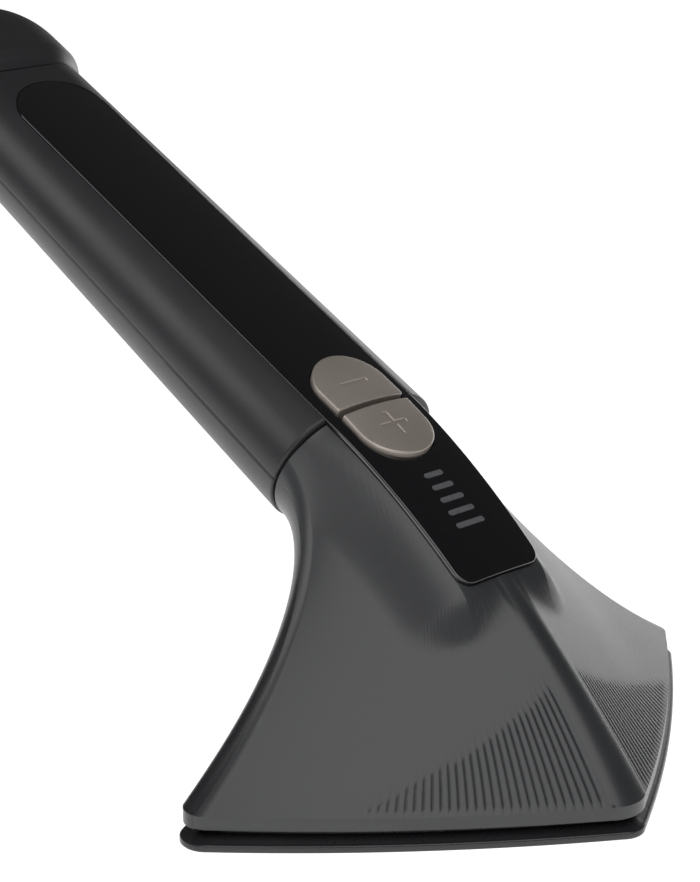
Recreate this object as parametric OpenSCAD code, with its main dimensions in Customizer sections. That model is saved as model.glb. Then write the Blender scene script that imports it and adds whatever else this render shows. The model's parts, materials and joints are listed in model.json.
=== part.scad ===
// Garment steamer head on a straight handle. Millimetres, +Z up, origin at the centre of the
// steam face, +Y back towards the handle, the plane x = 0 is the plane of symmetry.

/* [Head] */
// Width of the base flange between its two virtual corners
base_w = 150; // [125:1:180]
// Depth of the base flange from its virtual tip back to the corners
base_depth = 58.5; // [48:0.5:72]
// Depth of the base flange from its virtual tip to the middle of its back
base_back = 81; // [70:0.5:96]
// Radius of the flange at its tip
flange_tip_r = 5; // [3:0.5:9]
// Radius of the flange at its two corners
flange_corner_r = 5.5; // [3:0.5:8]
// Outward bow of each front edge
edge_bow = 2.3; // [0:0.1:4]
// Step from the edge of the flange in to the rim of the hood
hood_step = 0.3; // [0:0.1:1.5]
// Radius of the hood at its tip
hood_tip_r = 8; // [5:0.5:12]
// Radius of the hood at its two back corners
hood_corner_r = 5; // [3:0.5:7]
// Wall of the hood and of the rear shell
head_wall = 2.4; // [1.8:0.1:3]

/* [Handle] */
// Rise of the top of the handle above the horizontal, in degrees
handle_rise = 23.6; // [15:0.2:32]
// Distance from the tip of the flange back to the top of the neck
neck_back = 83.7; // [76:0.5:94]
// Height of the top of the neck
neck_top = 72.8; // [64:0.5:84]
// Length of the two handle shells
handle_len = 142; // [110:1:170]
// Width of the handle at the neck
handle_w = 45.8; // [40:0.2:54]
// Thickness of the handle at the neck
handle_t = 29.8; // [27:0.2:36]
// Loss of width from the neck to the end cap
width_taper = 4.8; // [0:0.1:6]
// Loss of thickness from the neck to the end cap
depth_taper = 3.6; // [0:0.1:4]
// Wall of the handle shells
handle_wall = 2; // [1.6:0.1:2.6]
// Length of the end cap
cap_len = 32; // [28:1:42]
// Height of the end cap above the handle shells
cap_proud = 2.3; // [0.5:0.1:3]

/* [Hose socket] */
// Radius of the socket for the cuff of the steam hose
socket_r = 8; // [6:0.1:9]
// Depth of the socket
socket_len = 14; // [8:1:18]

/* [Panel and buttons] */
// Half width of the panel on the handle
panel_half = 12.7; // [11:0.1:15]
// Thickness of the panel
panel_t = 1.6; // [1.2:0.1:2.2]
// Length of the panel on the handle, from the neck to its round end
panel_len = 135; // [95:1:138]
// Length of the panel on the hood, from the neck to its straight end
tongue_len = 49.5; // [44:0.5:54]
// Length of one button
button_l = 16; // [13:0.5:18]
// Width of the buttons
button_w = 19; // [15:0.5:21]
// Gap between the two buttons
button_gap = 1.5; // [0.8:0.1:3]
// Height of the buttons above the panel
button_proud = 1.5; // [1:0.1:2.5]
// Travel of a button
button_travel = 0.8; // [0.4:0.1:1]
// Number of light bars
led_count = 5; // [3:1:7]
// Distance between two light bars
led_pitch = 3.47; // [3:0.01:4]
// Width of a light bar
led_bar = 1.4; // [1:0.1:2]

/* [Steam chamber] */
// Thickness of the steam plate
plate_t = 2.2; // [1.6:0.1:2.6]
// Width of the plastic rim around the steam plate
plate_rim = 11; // [9:0.5:14]
// Radius of a steam hole
steam_hole_r = 1.5; // [0.8:0.1:2.2]
// Height of the top of the steam chamber
chamber_top = 23; // [19:0.5:25]
// Radius of the heating element
heater_r = 3.2; // [2.5:0.1:3.6]
// Half distance between the legs of the heating element
heater_half = 17; // [13:0.5:20]
// Outer radius of the steam tube
tube_r = 3; // [2.4:0.1:3.4]
// Bore radius of the steam tube
tube_bore_r = 2; // [1.4:0.1:2.2]

/* [Hidden] */

// Clearances
fit = 0.15;
seam = 0.15;
slip = 0.3;
far = 300;

// Heights in the head
lip_z = 1.7;
flange_z = 2.6;
flange_top_in = 2.7;
rim_z = 4.2;
hood_z = 7.3;
ledge_z = 5.3;
frame_wall_in = 3.4;
frame_wall_t = 1.6;
frame_wall_z = 6.6;

// Plan of the head, measured from the virtual tip of the flange
tip_y = -42;
side_a = atan2(base_depth, base_w / 2);
seam_a = -20;
tip_n = 6;
edge_n = 9;
corner_n = 4;
back_corner_n = 5;
back_n = 9;
front_count = tip_n + edge_n + corner_n;
rear_count = back_corner_n + back_n;

function unit(a) = [cos(a), sin(a)];
function tangent_a(tip, c, r) = let (v = c - [0, tip]) atan2(v.y, v.x) - asin(r / norm(v));
function bowed(p, q, bow, k) = p + (q - p) * k
    + unit(atan2(q.y - p.y, q.x - p.x) - 90) * 4 * bow * k * (1 - k);
function arc_points(c, r, a, b, n, first) =
    [for (i = [first:n]) c + r * unit(a + (b - a) * i / n)];
function front_half(tip, c, tr, cr, bow, last_a) =
    let (a = tangent_a(tip, c, cr), s = c + cr * unit(a - 90),
        p = arc_points([0, tip + tr / cos(a)], tr, -90, a - 90, tip_n, 0))
    concat(p, [for (i = [1:edge_n]) bowed(p[tip_n], s, bow, i / edge_n)],
        arc_points(c, cr, a - 90, last_a, corner_n, 1));
function back_half(c, cr, back, first_a) =
    let (big = back_r(c, cr, back), b = atan2(c.y - back + big, c.x))
    concat(arc_points(c, cr, first_a, b, back_corner_n, 0),
        arc_points([0, back - big], big, b, 90, back_n, 1));
function back_r(c, cr, back) = let (k = c.y - back) (cr * cr - c.x * c.x - k * k) / (2 * (k + cr));
// Centre of the corner arc of the outline that lies i inside the flange
function corner_in(i) = let (a = tangent_a(0, flange_c, flange_corner_r),
        big = back_r(flange_c, flange_corner_r, base_back),
        q = (flange_corner_r + i) * [-sin(a), cos(a)], v = q - [0, base_back - big],
        m = big - flange_corner_r - i, k = v * unit(a))
    q + (sqrt(k * k - v * v + m * m) - k) * unit(a);
function flange_plan(i) = let (c = corner_in(i), a = tangent_a(0, flange_c, flange_corner_r),
        f = front_half(i / cos(a), c, flange_tip_r, flange_corner_r, edge_bow, seam_a),
        b = back_half(c, flange_corner_r, base_back - i, seam_a),
        half = concat(f, [for (j = [1:len(b) - 1]) b[j]]))
    [for (p = concat(half, [for (j = [len(half) - 2:-1:1]) [-half[j].x, half[j].y]])) p + [0, tip_y]];
corner_shift = [-7.6, 0.8];
hood_shift = [-0.9, 0.7];
flange_c = [base_w / 2, base_depth] + corner_shift;
hood_c = flange_c + hood_shift;
hood_front = front_half(hood_step / cos(side_a), hood_c, hood_tip_r, hood_corner_r, edge_bow, seam_a);
rear_step = 1.5;
hood_rear = back_half(hood_c, hood_corner_r, base_back - rear_step, seam_a);
side_p = hood_rear[0];
hood_tip = hood_front[0].y;
hood_back = hood_rear[rear_count].y;

// Frame of the top line of the handle: y runs up the handle from the neck, z stands off the panel
up = [0, cos(handle_rise), sin(handle_rise)];
off = [0, -sin(handle_rise), cos(handle_rise)];
neck = [0, neck_back, neck_top];
function from_top(p) = neck + [p.x, 0, 0] + p.y * up + p.z * off;
function to_top(p) = [p.x, (p - neck) * up, (p - neck) * off];
function half_w(y) = (handle_w - width_taper * y / handle_len) / 2;
function half_t(y) = (handle_t - depth_taper * y / handle_len) / 2;

// Lines along the head, each from the rim (t = 0) to the neck (t = 1)
function bezier(p, t) = pow(1 - t, 3) * p[0] + 3 * t * pow(1 - t, 2) * p[1]
    + 3 * t * t * (1 - t) * p[2] + pow(t, 3) * p[3];
neck_under = 0.5;
tongue_under = 2;
tip_pull = [0, 17.9, 22.1];
side_pull = [-29, 4.4, 15.3];
back_pull = [0, 2, 20];
top_pull = 37.1;
seam_pull = 22;
under_pull = 14;
top_line = [[0, hood_tip, hood_z], [0, hood_tip, hood_z] + tip_pull, from_top([0, -top_pull, 0]), neck];
ridge = [top_line[0], top_line[1] - 0.3 * off, top_line[2] - tongue_under * off, neck - neck_under * off];
seam_line = [[side_p.x, side_p.y, hood_z], [base_w / 2, base_depth, hood_z] + side_pull,
    from_top([half_w(0), -seam_pull, -half_t(0)]), from_top([half_w(0) - neck_under, 0, -half_t(0)])];
back_line = [[0, hood_back, hood_z], [0, hood_back, hood_z] + back_pull,
    from_top([0, -under_pull, neck_under - handle_t]), from_top([0, 0, neck_under - handle_t])];

// One quarter of the neck section, in shares of its half width and half thickness
function quarter(i, n, flat_n) = let (r = handle_t / handle_w)
    i <= flat_n ? [(1 - r) * i / flat_n, 1] :
    let (a = 90 * (i - flat_n) / (n - flat_n)) [1 - r + r * sin(a), cos(a)];
function ease(t) = t * t * (1.2 - 0.2 * t);
neck_share = 0.8;
neck_power = 3.5;
function front_ease(t) = neck_share * pow(t, neck_power);
function mix(a, b, k) = a * (1 - k) + b * k;
function front_unit(i) = let (p = hood_front[i])
    [p.x / side_p.x, (side_p.y - p.y) / (side_p.y - hood_tip)];
function rear_unit(i) = let (p = hood_rear[i])
    [p.x / side_p.x, (p.y - side_p.y) / (hood_back - side_p.y)];

// Half rings of the head, set in by d
function inset_point(p, q, d) = p + (q - p) / norm(q - p) * d;
function front_ring(t, d) =
    let (s = bezier(seam_line, t), o = [0, s.y, s.z],
        f = inset_point(bezier(ridge, t), o, d * (1.3 - 0.3 * t)))
    [for (i = [0:front_count]) let (u = mix(front_unit(i), quarter(i, front_count, tip_n), front_ease(t)))
        o + [(s.x - d) * u.x, 0, 0] + (f - o) * max(u.y, seam / norm(f - o))];
function rear_ring(t, d) =
    let (s = bezier(seam_line, t), o = [0, s.y, s.z], r = inset_point(bezier(back_line, t), o, d))
    [for (i = [0:rear_count])
        let (u = mix(rear_unit(i), quarter(rear_count - i, rear_count, back_n), ease(t)))
        o + [(s.x - d) * u.x, 0, 0] + (r - o) * u.y];
function neck_front(y, d) = [for (i = [0:front_count]) let (u = quarter(i, front_count, tip_n))
    from_top([(half_w(y) - d) * u.x, y, -half_t(y) + max((half_t(y) - d) * u.y, seam)])];
function neck_rear(y, d) = [for (i = [0:rear_count]) let (u = quarter(rear_count - i, rear_count, back_n))
    from_top([(half_w(y) - d) * u.x, y, -half_t(y) - (half_t(y) - d) * u.y])];
function dropped(ring, z) = [for (p = ring) [p.x, p.y, z]];
function flipped(p) = [-p.x, p.y, p.z];
function both_sides(ring) = concat([for (i = [len(ring) - 1:-1:1]) flipped(ring[i])], ring);
function both_back(ring) = concat(ring, [for (i = [len(ring) - 2:-1:0]) flipped(ring[i])]);

// A curved wall between two grids of points with the same rows and columns
module wall_between(outer, inner) {
    rows = len(outer);
    cols = len(outer[0]);
    n = rows * cols;
    pts = [for (g = [outer, inner]) for (r = g) for (p = r) [p.x, p.y + tip_y, p.z]];
    function at(g, r, c) = g * n + r * cols + c;
    function quad(a, b, c, d) = [[a, b, c], [a, c, d]];
    faces = concat(
        [for (r = [0:rows - 2]) for (c = [0:cols - 2])
            each quad(at(0, r, c), at(0, r + 1, c), at(0, r + 1, c + 1), at(0, r, c + 1))],
        [for (r = [0:rows - 2]) for (c = [0:cols - 2])
            each quad(at(1, r, c), at(1, r, c + 1), at(1, r + 1, c + 1), at(1, r + 1, c))],
        [for (c = [0:cols - 2]) each quad(at(0, 0, c), at(0, 0, c + 1), at(1, 0, c + 1), at(1, 0, c))],
        [for (c = [0:cols - 2]) let (r = rows - 1)
            each quad(at(0, r, c), at(1, r, c), at(1, r, c + 1), at(0, r, c + 1))],
        [for (r = [0:rows - 2]) each quad(at(0, r, 0), at(1, r, 0), at(1, r + 1, 0), at(0, r + 1, 0))],
        [for (r = [0:rows - 2]) let (c = cols - 1)
            each quad(at(0, r, c), at(0, r + 1, c), at(1, r + 1, c), at(1, r, c))]);
    polyhedron(pts, faces, convexity = 10);
}

// A closed solid through rings of points
module loft(rings) {
    rows = len(rings);
    cols = len(rings[0]);
    pts = [for (r = rings) for (p = r) p];
    polyhedron(pts, concat([[for (c = [0:cols - 1]) c]],
        [for (r = [0:rows - 2]) for (c = [0:cols - 1]) let (e = (c + 1) % cols)
            each [[r * cols + c, (r + 1) * cols + c, (r + 1) * cols + e],
                [r * cols + c, (r + 1) * cols + e, r * cols + e]]],
        [[for (c = [cols - 1:-1:0]) (rows - 1) * cols + c]]), convexity = 6);
}

module on_handle() translate([0, neck_back + tip_y, neck_top]) rotate([handle_rise, 0, 0]) children();

// Section of the handle
section_n = 12;
function section(a, b, y, z) = [for (s = [0:3]) for (i = [0:section_n])
    let (g = s * 90 + 90 * i / section_n, sx = (s == 0 || s == 3) ? 1 : -1)
    [sx * max(a - b, 0) + b * cos(g) * min(1, a / b), y, z + b * sin(g)]];
function handle_ring(y, d) = section(half_w(y) - d, half_t(y) - d, y, -half_t(y));
module handle_solid(d, y0, y1) loft([handle_ring(y1, d), handle_ring(y0, d)]);
split_a = -atan(depth_taper / 2 / handle_len);
split_gap = 0.05;
module half_space(z) translate([0, 0, -handle_t / 2]) rotate([-split_a, 0, 0])
    translate([-far / 2, -far / 2, z]) cube([far, far * 2, far]);
module above_split() half_space(split_gap);
module below_split() half_space(-far - split_gap);

// Heights inside the handle, measured from the top line
ceiling_z = -4.3;
board_z = -11;
board_t = 1.6;
tube_z = -14.6;
flange_gap = 0.2;

// The panel: stations along the top line, straight on the handle and curved on the hood
panel_crown = 0.8;
panel_end_half = 11.6;
tongue_corner = 3.5;
station_n = 12;
function line_t(d, lo, hi, n) = let (m = (lo + hi) / 2) n == 0 ? m :
    norm(bezier(top_line, m) - neck) > d ? line_t(d, m, hi, n - 1) : line_t(d, lo, m, n - 1);
function top_point(s) = s >= 0 ? [0, s, 0] : to_top(bezier(top_line, line_t(-s, 0, 1, 14)));
function panel_width(s) = s > panel_len - panel_half ?
    sqrt(max(panel_half * panel_half - pow(s - panel_len + panel_half, 2), 2)) :
    s < tongue_corner - tongue_len ? panel_end_half - tongue_corner +
        sqrt(max(tongue_corner * tongue_corner - pow(tongue_corner - tongue_len - s, 2), 0.01)) :
    s < 0 ? panel_half + (panel_end_half - panel_half) * s / -tongue_len : panel_half;
tongue_corner_n = 4;
panel_end_n = 8;
function panel_stations() = concat(
    [for (i = [0:tongue_corner_n]) -tongue_len + tongue_corner * (1 - cos(90 * i / tongue_corner_n))],
    [for (i = [1:station_n]) (tongue_corner - tongue_len) * (1 - i / station_n)],
    [panel_len - panel_half],
    [for (i = [1:panel_end_n]) panel_len - panel_half + panel_half * sin(90 * i / panel_end_n)]);
crown_n = 4;
crown_power = 2.5;
function panel_ring(s, grow, top, under) =
    let (w = panel_width(s) + grow, p = top_point(s), a = s < 0 ? top_slope(s) : 0)
    concat([for (i = [-crown_n:crown_n])
            let (x = w * i / crown_n, z = top - panel_crown * pow(abs(i / crown_n), crown_power))
            p + [x, -z * sin(a), z * cos(a)]],
        [p + [w, under * sin(a), -under * cos(a)], p + [-w, under * sin(a), -under * cos(a)]]);
function top_slope(s) = let (a = top_point(s - 0.5), b = top_point(s + 0.5))
    atan2(b.z - a.z, b.y - a.y);
module panel_body(grow, top, under) loft([for (s = panel_stations()) panel_ring(s, grow, top, under)]);
panel_floor = panel_t + 0.1;
pocket_top = 4;
module panel_pocket() for (y = [0, -fit]) translate([0, y, 0]) panel_body(fit, pocket_top, panel_floor);

// Buttons
button_r = button_w / 2;
button_end = button_l + button_gap / 2 - button_r;
module button_outline(grow) intersection() {
    button_pocket(grow);
    translate([-far / 2, button_gap / 2]) square([far, far]);
}
module button_pocket(grow) {
    for (k = [-1, 1]) translate([0, k * button_end]) circle(button_r + grow, $fn = 64);
    translate([-button_r - grow, -button_end]) square([2 * (button_r + grow), 2 * button_end]);
}
button_hole_low = -12;
module button_hole() translate([0, 0, button_hole_low])
    linear_extrude(pocket_top - button_hole_low) button_pocket(slip);
foot_t = 1;
foot_grow = 0.9;
stem_r = 3;
plunger_r = 1.6;
foot_z = ceiling_z - flange_gap;
plunger_z = foot_z - foot_t - 0.9;
crown_r = 60;
module button(fall) {
    intersection() {
        translate([0, 0, foot_z]) linear_extrude(button_proud - foot_z) button_outline(0);
        rotate([-fall, 0, 0]) translate([0, -far / 2, button_proud - crown_r]) rotate([-90, 0, 0])
            cylinder(r = crown_r, h = far, $fn = 180);
    }
    translate([0, 0, foot_z - foot_t]) linear_extrude(foot_t) button_outline(foot_grow);
    translate([0, button_end, plunger_z]) cylinder(r = stem_r, h = foot_z - plunger_z - foot_t / 2, $fn = 48);
}
module facing_plus() mirror([0, 1, 0]) children();
board_top = board_z + board_t;
switch_s = 6;
switch_floor = 0.2;
switch_top = plunger_z - button_travel - switch_floor;
plunger_end = board_top + switch_floor + button_travel + fit;
module plunger() translate([0, button_end, plunger_end])
    cylinder(r = plunger_r, h = plunger_z - plunger_end, $fn = 32);
module switch() difference() {
    translate([-switch_s / 2, button_end - switch_s / 2, board_top])
        cube([switch_s, switch_s, switch_top - board_top]);
    translate([0, button_end, board_top + switch_floor])
        cylinder(r = plunger_r + fit, h = switch_s, $fn = 32);
}

// Light bars
led_s = -29.3;
led_longest = 8;
led_shorter = 0.68;
led_mid = (led_count - 1) / 2;
function led_place(i) = top_point(led_s + (i - led_mid) * led_pitch);
function led_half(i) = (led_longest - i * led_shorter - led_bar) / 2;
module led_bars(grow, depth, top) for (i = [0:led_count - 1])
    translate(led_place(i)) rotate([top_slope(led_s), 0, 0]) translate([0, 0, -depth])
        linear_extrude(depth + top) {
            square([2 * led_half(i), led_bar + 2 * grow], center = true);
            for (k = [-1, 1]) translate([k * led_half(i), 0]) circle(led_bar / 2 + grow, $fn = 24);
        }
guide_margin = 3;
led_span = 2 * led_mid * led_pitch + led_bar + guide_margin;
guide_w = 11;
module led_block(grow, z0, z1) translate(led_place(led_mid)) rotate([top_slope(led_s), 0, 0])
    translate([-guide_w / 2 - grow, -led_span / 2 - grow, z0])
        cube([guide_w + 2 * grow, led_span + 2 * grow, z1 - z0]);

// Head shells
head_rows = 18;
guide_room = 8;
spigot_len = 7;
spigot_start = 0.4;
shell_start = 0.6;
spigot_in = handle_wall + slip;
spigot_t = 2;
thick_rows = 4;
function head_t(i) = i / head_rows;
function wall_at(i) = head_wall + spigot_t * max(0, i - head_rows + thick_rows) / thick_rows;
bed_low = 0.5;
bed_grow = 1;
bed_depth = 8;
module below_neck() intersection() {
    children();
    translate([-far / 2, -far - seam, -far / 2]) cube([far, far, far]);
}
module bed_cavity() below_neck() translate([0, head_wall, 0])
    panel_body(bed_grow - head_wall, -bed_low - head_wall, bed_depth + head_wall);
module bed() difference() {
    below_neck() panel_body(bed_grow, -bed_low, bed_depth);
    bed_cavity();
}
module hood_wall() wall_between(
    concat([both_sides(dropped(front_ring(0, 0), rim_z))],
        [for (i = [0:head_rows]) both_sides(front_ring(head_t(i), 0))],
        [for (y = [spigot_start, spigot_len]) both_sides(neck_front(y, spigot_in))]),
    concat([both_sides(dropped(front_ring(0, head_wall), rim_z))],
        [for (i = [0:head_rows - 1]) both_sides(front_ring(head_t(i), wall_at(i)))],
        [for (y = [0, spigot_len / 2, spigot_len]) both_sides(neck_front(y, spigot_in + spigot_t))]));
module hood() color("dimgray") difference() {
    union() {
        difference() {
            hood_wall();
            on_handle() bed_cavity();
        }
        on_handle() bed();
    }
    on_handle() {
        panel_pocket();
        button_hole();
        translate([0, 0, button_hole_low])
            linear_extrude(ceiling_z - button_hole_low) button_pocket(foot_grow + slip);
        translate([-far / 2, shell_start - seam, ceiling_z - fit]) cube([far, far, far]);
        led_block(fit, -guide_room, 0);
    }
    slab(frame_wall_in - fit, 0, frame_wall_z + fit);
}
module rear_shell() color("dimgray") difference() {
    wall_between(
        concat([both_back(dropped(rear_ring(0, 0), rim_z))],
            [for (i = [0:head_rows]) both_back(rear_ring(head_t(i), 0))],
            [for (y = [spigot_start, spigot_len]) both_back(neck_rear(y, spigot_in))]),
        concat([both_back(dropped(rear_ring(0, head_wall), rim_z))],
            [for (i = [0:head_rows - 1]) both_back(rear_ring(head_t(i), wall_at(i)))],
            [for (y = [0, spigot_len / 2, spigot_len]) both_back(neck_rear(y, spigot_in + spigot_t))]));
    slab(frame_wall_in - fit, 0, frame_wall_z + fit);
}

// Base frame: flange, sloping top, a wall inside the head shells and a ledge for the chamber
chamber_flange_in = 5.6;
chamber_flange_t = 2;
mid_in = 13.8;
mid_z = 18;
top_in = 18.5;
cavity_in = 25;
screw_r = 1.5;
thread = 0.05;
screw_head_r = 2.8;
screw_head_t = 1.8;
screw_play = 0.2;
chamber_screw_in = 8.3;
function on_outline(i, places) = let (o = flange_plan(i)) [for (k = places) o[(len(o) + k) % len(o)]];
chamber_screw_p = on_outline(chamber_screw_in, [0, tip_n + 7, front_count + rear_count, -tip_n - 7]);
module slab(i, z0, z1) translate([0, 0, z0]) linear_extrude(z1 - z0) polygon(flange_plan(i));
module at_points(points, z) for (p = points) translate([p.x, p.y, z]) children();
frame_floor = 1.2;
module base_frame() color("#26272a") difference() {
    union() {
        slab(0, 0, lip_z);
        hull() {
            slab(0, lip_z / 2, lip_z);
            slab(flange_top_in, lip_z, flange_z);
        }
        slab(frame_wall_in, lip_z / 2, frame_wall_z);
    }
    slab(frame_wall_in + frame_wall_t, ledge_z, chamber_top);
    slab(plate_rim, -1, chamber_top);
    at_points(chamber_screw_p, frame_floor) cylinder(r = screw_r - thread, h = chamber_top, $fn = 32);
}

// Steam plate with rows of steam holes
hole_pitch = 9;
hole_row = 7.8;
hole_first = 21;
hole_margin = 5;
hole_rows = 6;
hole_reach = 5;
function hole_y(i, j) = hole_first + (j + (abs(i) % 2) / 2) * hole_row;
function plate_front(x) = (plate_rim + hole_margin) / cos(side_a) + abs(x) * tan(side_a);
module steam_plate() color("silver") difference() {
    slab(plate_rim + fit, 0, plate_t);
    for (i = [-hole_reach:hole_reach]) for (j = [0:hole_rows - 1]) let (x = i * hole_pitch, y = hole_y(i, j))
        if (y > plate_front(x) && y < base_back - plate_rim - 2 * hole_margin)
            translate([x, y + tip_y, -1]) cylinder(r = steam_hole_r, h = plate_t + 2, $fn = 32);
}
gasket_t = 1;
chamber_gap = 0.4;
gasket_w = 2.6;
module plate_gasket() color("#7a3b2e") difference() {
    slab(plate_rim + chamber_gap, plate_t, plate_t + gasket_t);
    slab(plate_rim + chamber_gap + gasket_w, 0, chamber_top);
}

// Steam chamber with a distribution space below, a cast-in element and a steam cavity on top
heater_z = 10.2;
heater_y = 0;
heater_leg = 27;
chamber_z = plate_t + gasket_t;
cavity_floor = 16.5;
module heater_rod(r) {
    translate([0, heater_y, heater_z]) rotate([0, 0, 180]) rotate_extrude(angle = 180, $fn = 96)
        translate([heater_half, 0]) circle(r, $fn = 32);
    for (k = [-1, 1]) translate([k * heater_half, heater_y, heater_z]) rotate([-90, 0, 0])
        cylinder(r = r, h = heater_leg, $fn = 32);
}
spread_t = 2.4;
spread_wall = 4;
port_r = 2.5;
port_y = -4;
cast_in = 0.02;
module steam_chamber() color("#b9bbbd") difference() {
    union() {
        slab(plate_rim + chamber_gap, chamber_z, ledge_z + chamber_flange_t / 2);
        slab(chamber_flange_in, ledge_z, ledge_z + chamber_flange_t);
        slab(mid_in, ledge_z, mid_z);
        slab(top_in, ledge_z, chamber_top);
    }
    slab(plate_rim + spread_wall, 0, chamber_z + spread_t);
    slab(cavity_in, cavity_floor, chamber_top + 1);
    translate([0, port_y, 0]) cylinder(r = port_r, h = chamber_top, $fn = 32);
    heater_rod(heater_r + cast_in);
    at_points(chamber_screw_p, 0) cylinder(r = screw_r + screw_play, h = chamber_top, $fn = 32);
    at_points(chamber_screw_p, ledge_z + chamber_flange_t)
        cylinder(r = screw_head_r + slip, h = chamber_top, $fn = 32);
    at_points(cover_screw_p, chamber_top - cover_screw_len)
        cylinder(r = cover_screw_r, h = chamber_top, $fn = 24);
}
terminal_r = 1.2;
terminal_len = 3.5;
module heating_element() color("#8d8f92") {
    heater_rod(heater_r);
    for (k = [-1, 1]) translate([k * heater_half, heater_y + heater_leg, heater_z]) rotate([-90, 0, 0])
        cylinder(r = terminal_r, h = terminal_len, $fn = 24);
}
slot_t = 0.6;
module screw(r, l, hr, hh) {
    translate([0, 0, -l]) cylinder(r = r, h = l + hh / 2, $fn = 32);
    difference() {
        cylinder(r = hr, h = hh, $fn = 48);
        for (a = [0, 90]) rotate([0, 0, a]) translate([-hr * 0.7, -slot_t / 2, hh - slot_t])
            cube([hr * 1.4, slot_t, slot_t + 1]);
    }
}
chamber_screw_len = 5.5;
module chamber_screws() color("silver") at_points(chamber_screw_p, ledge_z + chamber_flange_t)
    screw(screw_r - thread, chamber_screw_len, screw_head_r, screw_head_t);

// Cover of the chamber with the steam inlet
cover_t = 1.6;
cover_top = chamber_top + cover_t;
cover_screw_r = 1.2;
inlet_y = 56 + tip_y;
inlet_h = 9;
cover_screw_in = (top_in + cavity_in) / 2;
cover_screw_p = on_outline(cover_screw_in, [0, tip_n + edge_n + 2, -tip_n - edge_n - 2]);
cover_screw_len = 5;
cover_head_r = 2.2;
cover_head_t = 1.4;
nipple_wall = 0.7;
nipple_fit = 0.02;
tube_seat = 0.6;
tube_seat_h = 2;
shield_pin_up = 0.6;
post_r = 2;
module chamber_cover() color("#a4a6a8") difference() {
    union() {
        slab(top_in, chamber_top, cover_top);
        translate([0, inlet_y, chamber_top]) {
            cylinder(r = tube_bore_r - nipple_fit, h = cover_t + inlet_h, $fn = 48);
            cylinder(r = tube_r + tube_seat, h = cover_t + tube_seat_h, $fn = 48);
        }
        at_points(shield_post_p, chamber_top) {
            cylinder(r = post_r, h = cover_t + shield_up, $fn = 32);
            cylinder(r = shield_pin_r, h = cover_t + shield_up + shield_t + shield_pin_up, $fn = 24);
        }
    }
    translate([0, inlet_y, 0]) cylinder(r = tube_bore_r - nipple_wall, h = neck_top, $fn = 32);
    at_points(cover_screw_p, 0) cylinder(r = cover_screw_r + screw_play, h = neck_top, $fn = 32);
}
module cover_screws() color("silver") at_points(cover_screw_p, cover_top)
    screw(cover_screw_r - nipple_fit, cover_screw_len, cover_head_r, cover_head_t);

// Thermostat and thermal fuse on the cover, and the heat shield over them
sensor_x = 13.5;
sensor_y = 5;
thermostat_r = 6.5;
thermostat_h = 3.6;
thermostat_cap_r = 3.4;
thermostat_cap_h = 5;
tab_x = 4.6;
tab = [0.8, 3.2, 3.2];
module thermostat() color("#c9c2b0") translate([sensor_x, sensor_y, cover_top]) {
    cylinder(r = thermostat_r, h = thermostat_h, $fn = 64);
    cylinder(r = thermostat_cap_r, h = thermostat_cap_h, $fn = 48);
    for (k = [-1, 1]) translate([k * tab_x - tab.x / 2, -tab.y / 2, thermostat_h - 0.2]) cube(tab);
}
fuse_r = 2;
fuse_half = 6;
fuse_wire_r = 0.5;
fuse_wire_half = 9;
module thermal_fuse() color("#d8d2c4")
    translate([-sensor_x, sensor_y, cover_top + fuse_r + light_gap]) rotate([-90, 0, 0]) {
        translate([0, 0, -fuse_half]) cylinder(r = fuse_r, h = 2 * fuse_half, $fn = 40);
        translate([0, 0, -fuse_wire_half]) cylinder(r = fuse_wire_r, h = 2 * fuse_wire_half, $fn = 20);
    }
module heat_shield() color("#9b9a92") difference() {
    translate([-shield_w / 2, shield_y, cover_top + shield_up]) cube([shield_w, shield_d, shield_t]);
    translate([0, inlet_y, 0]) cylinder(r = tube_r + shield_room, h = neck_top, $fn = 48);
    at_points(shield_post_p, 0) cylinder(r = shield_pin_r + nipple_fit, h = neck_top, $fn = 24);
}
shield_room = 2.2;
shield_w = 42;
shield_d = 13.6;
shield_t = 0.8;
shield_y = 47.4 + tip_y;
shield_up = 8;
shield_pin_r = 1.2;
shield_post_p = [for (k = [-1, 1]) [k * 19.5, 55 + tip_y]];

// Steam tube: up from the cover, one bend, then along the handle
bend_r = 18;
bend_a = 90 - handle_rise;
bend_in = bend_r * tan(bend_a / 2);
tube_line = from_top([0, 0, tube_z]);
tube_corner = tube_line + (inlet_y - tip_y - tube_line.y) / up.y * up + [0, tip_y, 0];
tube_low = cover_top + tube_seat_h + 0.2;
tube_end = handle_len - 6;
tube_mouth = 4;
module along_tube() translate(tube_corner) rotate([handle_rise, 0, 0]) children();
tube_run = tube_end - to_top(tube_corner - [0, tip_y, 0]).y;
bend_grip = 0.4;
bend_step = 0.02;
mouth_r = tube_bore_r + 2 * bend_step;
module tube_path(r) {
    translate([0, inlet_y, tube_low])
        cylinder(r = r + bend_step, h = tube_corner.z - bend_in - tube_low + bend_grip, $fn = 48);
    translate(tube_corner + [0, bend_r, -bend_in]) rotate([90, 0, -90])
        rotate_extrude(angle = bend_a, $fn = 120) translate([bend_r, 0]) circle(r, $fn = 48);
    along_tube() translate([0, bend_in - bend_grip, 0]) rotate([-90, 0, 0])
        cylinder(r = r + bend_step, h = tube_run - bend_in + bend_grip, $fn = 48);
}
module steam_tube() color("#d9d4c8") difference() {
    tube_path(tube_r);
    tube_path(tube_bore_r);
    translate([0, inlet_y, tube_low - tube_mouth]) cylinder(r = mouth_r, h = 2 * tube_mouth, $fn = 48);
    along_tube() translate([0, tube_run - tube_mouth, 0]) rotate([-90, 0, 0])
        cylinder(r = mouth_r, h = 2 * tube_mouth, $fn = 48);
}
clamp_t = 1;
clamp_h = 4;
clamp_ear = [4, 2.8, clamp_h];
clamp_slot = 0.8;
clamp_back = 2;
clamp_low = 1;
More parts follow.
